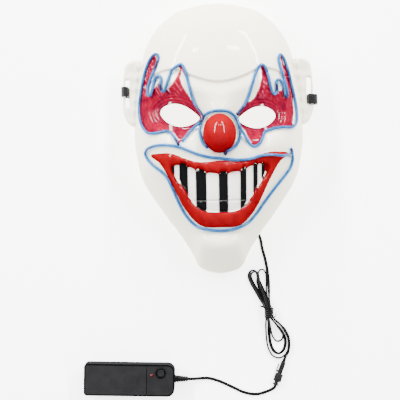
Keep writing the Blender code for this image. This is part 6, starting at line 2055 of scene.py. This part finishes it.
@dataclass
class BatteryCase:
    """Case for two cells: tray with a bay, sliding cover, push switch, lamp and lead boot."""

    at: tuple[float, float] = (-0.0968, -0.2489)
    turn: float = -1.8
    length: float = 0.0938
    depth: float = 0.0330
    height: float = 0.0220
    wall: float = 0.0016
    left_radius: float = 0.0035
    right_radius: float = 0.0075
    cell_diameter: float = 0.0145
    cell_length: float = 0.0505
    cover_thickness: float = 0.0020
    cover_lip: float = 0.0019
    button_radius: float = 0.0036
    lamp_radius: float = 0.0016
    boot_length: float = 0.0138
    gap: float = 0.0003
    spring_room: float = 0.004
    rim_depth: float = 0.0004
    rim_width: float = 0.0013
    grey: Colour = (0.0105, 0.0105, 0.011)
    # painted shade for the bevels round the top and the rim step's floor
    rim: Colour = (0.0022, 0.0022, 0.0024)

    def matrix(self) -> Matrix:
        """Return the case's place: x runs towards its boot."""
        return Matrix.Translation((*self.at, 0.0)) @ Matrix.Rotation(math.radians(self.turn), 4, "Z")

    @property
    def left(self) -> float:
        """Left end of the case."""
        return -self.length / 2

    @property
    def right(self) -> float:
        """Right end of the case."""
        return self.length / 2

    @property
    def bay_ends(self) -> tuple[float, float]:
        """Both ends of the cells' bay."""
        first = self.left + self.wall
        return first, first + self.cell_length + self.spring_room

    @property
    def seam(self) -> float:
        """Line where the cover meets the fixed top."""
        return self.left + 0.695 * self.length

    @property
    def deck(self) -> float:
        """Height that the cover slides on."""
        return self.height - self.cover_thickness

    def outline(self, x_from: float, x_to: float, inset: float = 0.0) -> Array:
        """Draw the case's plan between two lengths, round only at its own ends.

        Args:
            x_from: Start along the case.
            x_to: End along the case.
            inset: How far inside the case's own edge.

        Returns:
            The loop.
        """
        half_d = self.depth / 2 - inset
        corners = []
        for cx, cy, turn in ((1, -1, -90), (1, 1, 0), (-1, 1, 90), (-1, -1, 180)):
            edge, own = (x_to, self.right) if cx > 0 else (x_from, self.left)
            radius = (self.right_radius if cx > 0 else self.left_radius) - inset
            if abs(edge - own) > 1e-6:
                corners.append((edge, cy * half_d))
                continue
            edge -= cx * inset
            for angle in np.radians(np.linspace(turn, turn + 90, 9)):
                corners.append((edge - cx * radius + radius * math.cos(angle),
                                cy * (half_d - radius) + radius * math.sin(angle)))
        return np.array(corners)

    def build(self) -> list[bpy.types.Object]:
        """Build every piece of the case but its lead."""
        # the rim colour paints shade on the top's bevels and rim step; the upright walls get painted light
        edge = {"edge_shade_colour": self.rim, "rim_below": self.height - 0.00030, "shine": 0.0}
        lighter = tuple(c * 1.06 for c in self.grey)
        case_grain = Plastic("case_abs", self.grey, 0.46, Grain.SPARK, **edge).material()
        cover_grain = Plastic("cover_abs", lighter, 0.45, Grain.SPARK, **edge).material()
        black = (0.0012, 0.0012, 0.0014)
        gloss = Plastic("bezel_gloss", black, 0.4, Grain.POLISHED, coat=0.03, shine=0.03).material()
        cap = Plastic("button_cap", (0.0095, 0.0095, 0.010), 0.5, shine=0.03).material()
        lens = Plastic("lamp_lens", (0.065, 0.0015, 0.002), 0.2, Grain.POLISHED, coat=0.25).material()
        boot = Plastic("boot_pvc", (0.0035, 0.0035, 0.0037), 0.5).material()
        pieces = [
            add_piece("case_tray", self.tray(), case_grain, ["battery_case"]),
            add_piece("sliding_cover", self.cover(), cover_grain, ["battery_cover"],
                      "battery_cover"),
            add_piece("switch_ring", self.bezel(), gloss, ["switch_bezel"]),
            add_piece("push_button", self.button(), cap, ["switch_button"],
                      "switch_button"),
            add_piece("lamp_dome", self.lamp(), lens, ["indicator_lamp"]),
            add_piece("lead_boot", self.boot(), boot, ["strain_relief"]),
        ]
        return pieces + self.contacts()

    def tray(self) -> bpy.types.Mesh:
        """Shape the tray with its bay, its ledge and its holes."""
        left, right, deck, gap = self.left, self.right, self.deck, self.gap
        body = prism("tray", self.outline(left, right), 0.0, self.height)
        solid = Solid("tray", body).bevel(0.0008, 3)
        bay_start, bay_end = self.bay_ends
        bay_half = self.cell_diameter + 0.0005
        lip_half = self.depth / 2 - self.left_radius + gap
        over, past = self.height + 0.01, left - 0.01
        room = (bay_end + self.wall, right - self.wall - 0.002)
        passage = (bay_end - 0.001, bay_end + self.wall + 0.001)
        z, seat = self.boot_z, 0.0022
        cuts = [
            bar("ledge", (past, self.seam), self.depth, (deck, over)),
            bar("lip_notch", (past, left + self.wall + gap), lip_half,
                (deck - self.cover_lip, self.height)),
            bar("bay", (bay_start, bay_end), bay_half, (self.wall, self.height)),
            bar("room", room, bay_half, (self.wall, self.height - 0.0018)),
            bar("wire_pass", passage, 0.006, (deck - 0.006, deck - 0.001)),
            bar("boot_seat", (right - 0.005, right + 0.002), seat, (z - seat, z + seat)),
        ]
        for mesh in cuts:
            solid.combine(mesh, "DIFFERENCE")
        for name, radius, (x, y) in (("button_well", self.button_radius + gap, self.button_at),
                                     ("lamp_well", self.lamp_radius + gap * 0.5, self.lamp_at)):
            loop = circle(radius, 40, (x, y))
            solid.combine(prism(name, loop, self.height - 0.004, self.height + 0.002), "DIFFERENCE")
        section = ((0.0024, -0.00025), (0.0024, 0.001), (0.0012, 0.001), (0.0012, -0.00025))
        dish = [(self.button_radius + r, self.height + z) for r, z in section]
        ring = lathe("button_dish", dish, 48, True)
        ring.transform(Matrix.Translation((*self.button_at, 0.0)))
        solid.combine(ring, "DIFFERENCE")
        parting = prism("parting_line", self.outline(left, right, -0.001), 0.0096, 0.0099)
        inner = Solid("parting", parting)
        inner.combine(prism("parting_core", self.outline(left, right, 0.00022), 0.009, 0.0105),
                      "DIFFERENCE")
        solid.combine(inner.done(), "DIFFERENCE")
        solid.combine(self.rim_groove("tray_rim"), "DIFFERENCE")
        return solid.done(self.matrix())

    def rim_groove(self, name: str) -> bpy.types.Mesh:
        """Return the cutter of the shallow step that runs round the top, which the material darkens with
        painted shade.
        """
        outer = self.outline(self.left, self.right, 0.0003)
        ring = Solid(name, prism(name, outer, self.height - self.rim_depth, self.height + 0.001))
        inner = self.outline(self.left, self.right, 0.0003 + self.rim_width)
        ring.combine(prism(f"{name}_core", inner, self.height - 0.001, self.height + 0.002),
                     "DIFFERENCE")
        return ring.done()

    def cover(self) -> bpy.types.Mesh:
        """Shape the sliding cover with its lip and its grip grooves."""
        low, high = self.deck + self.gap * 0.5, self.height
        plate = prism("cover_plate", self.outline(self.left, self.seam - self.gap * 0.7), low, high)
        cover = Solid("cover_plate", plate).bevel(0.0007, 3)
        lip_half = self.depth / 2 - self.left_radius
        lip_along = (self.left + 0.0006, self.left + self.wall)
        lip = bar("cover_lip", lip_along, lip_half, (low - self.cover_lip, low + 0.0004))
        cover.combine(lip, "UNION", 0.0002)
        pitch, half = 0.0024, 0.0050
        first = self.seam - 0.0062 - 5 * pitch
        for k in range(5):
            x = first + k * pitch
            groove = bar(f"grip_{k}", (x, x + 0.0012), half, (high - 0.00022, high + 0.002))
            cover.combine(groove, "DIFFERENCE", 0.0001)
        cover.combine(self.rim_groove("cover_rim"), "DIFFERENCE")
        line_up = (high - 0.00025, high + 0.001)
        line = bar("arrow_line", (first - 0.0040, first - 0.0034), half, line_up)
        cover.combine(line, "DIFFERENCE")
        return cover.done(self.matrix())

    @property
    def button_at(self) -> tuple[float, float]:
        """Middle of the button."""
        return self.length / 2 - 0.0144, 0.0080

    @property
    def lamp_at(self) -> tuple[float, float]:
        """Middle of the lamp."""
        return self.seam + 0.0047, 0.0054

    @property
    def boot_z(self) -> float:
        """Height of the boot's axis."""
        return 0.0050

    def turned(
        self, name: str, profile: Table, at: tuple[float, float], closed: bool = False
    ) -> bpy.types.Mesh:
        """Turn a profile about an upright axis on the case."""
        mesh = lathe(name, profile, 64, closed)
        mesh.transform(self.matrix() @ Matrix.Translation((*at, 0.0)))
        return mesh

    def bezel(self) -> bpy.types.Mesh:
        """Shape the glossy ring round the button."""
        inner, outer, base = self.button_radius + self.gap, self.button_radius + 0.0017, self.height + 0.00005
        middle, half = (inner + outer) / 2, (outer - inner) / 2
        profile = [(inner, base), (outer, base)]
        for t in np.radians(np.arange(0, 181, 18)):
            profile.append((middle + half * math.cos(t), base + 0.0003 + 0.00075 * math.sin(t)))
        return self.turned("switch_ring", profile, self.button_at, True)

    def button(self) -> bpy.types.Mesh:
        """Shape the push button with a shallow dish."""
        radius, top = self.button_radius, self.height + 0.0016
        profile = [(radius, self.height - 0.0045), (radius, top - 0.0006)]
        for t in np.radians((30, 60, 90)):
            profile.append((radius - 0.0005 + 0.0005 * math.cos(t),
                            top - 0.0006 + 0.0005 * math.sin(t)))
        for s in (0.75, 0.6, 0.4, 0.2, 0.04):
            profile.append((radius * s, top - 0.0001 - 0.0004 * math.cos(s * math.pi / 1.7)))
        return self.turned("push_button", profile, self.button_at)

    def lamp(self) -> bpy.types.Mesh:
        """Shape the lamp's dome."""
        radius = self.lamp_radius
        profile = [(radius, self.height - 0.003), (radius, self.height)]
        for t in np.radians(np.arange(10, 90, 10)):
            profile.append((radius * math.cos(t), self.height + radius * 0.8 * math.sin(t)))
        return self.turned("lamp_dome", profile, self.lamp_at)

    def boot(self) -> bpy.types.Mesh:
        """Shape the boot's tapering ribs."""
        start, length, ribs = self.right + 0.0001, self.boot_length, 6
        profile = [(0.0014, start), (0.00385, start), (0.00395, start + 0.0002)]
        for k in range(ribs):
            share, after, last = k / ribs, (k + 0.55) / ribs, (k + 0.98) / ribs
            radius = 0.00395 - 0.00135 * share
            ridge = (
                (0.0, share + 0.02), (0.0, after), (0.00022, after + 0.012),
                (0.0008, after + 0.03), (0.00085, last - 0.02), (0.0004, last),
            )
            profile += [(radius - inset, start + s * length) for inset, s in ridge]
        profile += [(0.0023, start + length), (0.0019, start + length + 0.00025),
                    (0.00145, start + length + 0.0003)]
        mesh = lathe("lead_boot", profile, 40)
        turn = Matrix.Rotation(math.pi / 2, 4, "Y")
        mesh.transform(self.matrix() @ Matrix.Translation((0.0, 0.0, self.boot_z)) @ turn)
        return mesh

    def contacts(self) -> list[bpy.types.Object]:
        """Fit the bay with two springs, two flat contacts and the rib between the cells."""
        finish = Metal("contact_nickel").material()
        bay_left, bay_right = self.bay_ends
        coils = []
        for side in (-1, 1):
            y, z = side * self.cell_diameter / 2, self.wall + self.cell_diameter / 2
            turns, wire = 4.0, 0.00035
            t = np.linspace(0.0, 1.0, 150)
            radius = 0.0042 - 0.0016 * t
            end, sign = (bay_left, 1) if side < 0 else (bay_right, -1)
            x = end + sign * (0.0010 + 0.0034 * t)
            angle = 2 * math.pi * turns * t
            coil = np.column_stack([x, y + radius * np.cos(angle), z + radius * np.sin(angle)])
            coils.append(sweep(coil, circle(wire, 8), np.zeros(len(coil)), up=(1.0, 0.0, 0.0)))
        springs = new_mesh("cell_springs", *together(coils), 60)
        springs.transform(self.matrix())
        plates = Solid("plate_first", self.plate(bay_left + 0.0001, -1))
        for x, side in ((bay_left + 0.0001, 1), (bay_right - 0.0006, -1), (bay_right - 0.0006, 1)):
            plates.combine(self.plate(x, side), "UNION")
        rib_along = (bay_left + 0.008, bay_right - 0.008)
        rib_up = (self.wall - 0.0002, self.wall + 0.0035)
        rib = Solid("cell_rib", bar("cell_rib", rib_along, 0.0005, rib_up))
        rib.bevel(0.0003, 2)
        grain = Plastic("bay_abs", self.grey, 0.5, Grain.SATIN).material()
        return [
            add_piece("cell_springs", springs, finish),
            add_piece("contact_plates", plates.done(self.matrix()), finish),
            add_piece("cell_divider", rib.done(self.matrix()), grain),
        ]

    def plate(self, x: float, side: int) -> bpy.types.Mesh:
        """Return one contact plate."""
        y = side * self.cell_diameter / 2
        low = (x, y - 0.0048, self.wall + 0.0022)
        high = (x + 0.0005, y + 0.0048, self.wall + 0.0118)
        return block(f"plate_{round(x * 1e4)}_{side}", low, high)

    def lead(
        self, cable: Cable, start: Vector, ahead: Vector, finish: bpy.types.Material
    ) -> bpy.types.Object:
        """Args:
            cable: The cable's section.
            start: The connector's end.
            ahead: The connector's direction.
            finish: The cable's material.

        Returns:
            The lead.
        """
        matrix = self.matrix()
        boot_end = matrix @ Vector((self.right + self.boot_length, 0.0, self.boot_z))
        before = matrix @ Vector((self.right + self.boot_length + 0.0045, 0.0, self.boot_z - 0.0003))
        rest = cable.height / 2 + 0.0001
        knots = [tuple(start), tuple(start + ahead * 0.002)]
        knots += [(x, y, z + rest) for x, y, z in CASE_LEAD_ROUTE] + [tuple(before), tuple(boot_end)]
        rough = smooth_through(knots, 1000, False)
        line = evenly(rough, round(path_length(rough) / 0.001), False)[::-1]
        line[:, 2] = np.maximum(line[:, 2], rest)
        obj = cable.lay("case_cable", line, np.zeros(len(line)), finish)
        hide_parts("case_lead")
        return obj


@dataclass
class Studio:
    """Pale table, soft overhead light and the camera of the photo."""

    camera_at: tuple[float, float, float] = (-0.0205, -0.0640, 1.250)
    camera_roll: float = -0.97
    lens: float = 107.14

    def build(self) -> None:
        """Set the table, the lights and the camera."""
        corners = [(x, y, 0.0) for x, y in ((-3, -3), (3, -3), (3, 3), (-3, 3))]
        floor = new_mesh("table_top", corners, [(0, 1, 2, 3)])
        table = bpy.data.objects.new("table_top", floor)
        bpy.context.scene.collection.objects.link(table)
        graph = Graph("table_white")
        graph.put(graph.shader.inputs["Emission Color"], (1.0, 1.0, 1.0))
        floor.materials.append(graph.dress((0.94, 0.94, 0.94), 0.7, Emission_Strength=3.2))
        for name, at, size, power in (
            ("strip_left", (-1.00, 0.95, 1.05), (0.14, 2.3), 135.0),
            ("strip_right", (0.82, 0.95, 1.10), (0.12, 2.3), 112.0),
            ("top_left", (-0.24, 1.20, 1.05), (0.10, 0.12), 6.0),
            ("top_right", (0.20, 1.20, 1.05), (0.10, 0.12), 6.0),
        ):
            self.lamp(name, at, size, power)
        fill = self.lamp("front_fill", (0.0, -1.3, 1.1), (1.4, 1.0), 24.0)
        fill.visible_glossy = False
        world = bpy.context.scene.world or bpy.data.worlds.new("studio")
        bpy.context.scene.world = world
        world.use_nodes = True
        back = world.node_tree.nodes["Background"]
        back.inputs["Color"].default_value = (1.0, 1.0, 1.0, 1.0)
        back.inputs["Strength"].default_value = 0.45
        data = bpy.data.cameras.new("photo_camera")
        data.lens, data.sensor_width, data.clip_start = self.lens, 36.0, 0.01
        camera = bpy.data.objects.new("photo_camera", data)
        camera.location = self.camera_at
        camera.rotation_euler = (0.0, 0.0, math.radians(self.camera_roll))
        bpy.context.scene.collection.objects.link(camera)
        bpy.context.scene.camera = camera

    def lamp(self, name: str, at: Colour, size: tuple[float, float], power: float) -> bpy.types.Object:
        """Hang one soft light that faces the mask, its length along Y.

        Args:
            name: Its name.
            at: Its place.
            size: Its width and length in metres.
            power: Its power in watts.

        Returns:
            The light.
        """
        data = bpy.data.lights.new(name, "AREA")
        data.shape, data.size, data.size_y, data.energy = "RECTANGLE", size[0], size[1], power
        light = bpy.data.objects.new(name, data)
        light.location = at
        back = (Vector(at) - Vector((0.0, -0.03, 0.03))).normalized()
        across = Vector((0.0, 1.0, 0.0)).cross(back).normalized()
        turn = Matrix((across, back.cross(across), back)).transposed()
        light.rotation_euler = turn.to_euler()
        light.visible_camera = False
        bpy.context.scene.collection.objects.link(light)
        return light


def main() -> None:
    """Build the looks of every part and the studio."""
    logging.basicConfig(level=logging.INFO, format="%(message)s")
    form = FaceForm()
    MaskShell(form).build()
    splice = Splice(form)
    GlowWires(form, splice).build()
    HeadStrap().build()
    cable = Cable()
    jacket = Plastic("cable_pvc", (0.0018, 0.0018, 0.002), 0.40, Grain.SATIN, shine=0.1).material()
    connector = Connector()
    plug_back, socket_end, ahead = connector.line()
    plug, socket = connector.build()
    Lead(splice, cable, jacket).build(plug_back, ahead, [plug])
    TwistTie().build(Plastic("tie_coat", (0.0022, 0.0022, 0.0024), 0.35, Grain.POLISHED).material())
    case = BatteryCase()
    case.build()
    case.lead(cable, socket_end, ahead, jacket)
    sleeve = bpy.data.objects["splice_sleeve"]
    sleeve.data.materials.clear()
    sleeve.data.materials.append(Plastic("shrink_sleeve", (0.005, 0.005, 0.0055), 0.38).material())
    Studio().build()


if __name__ == "__main__":
    main()
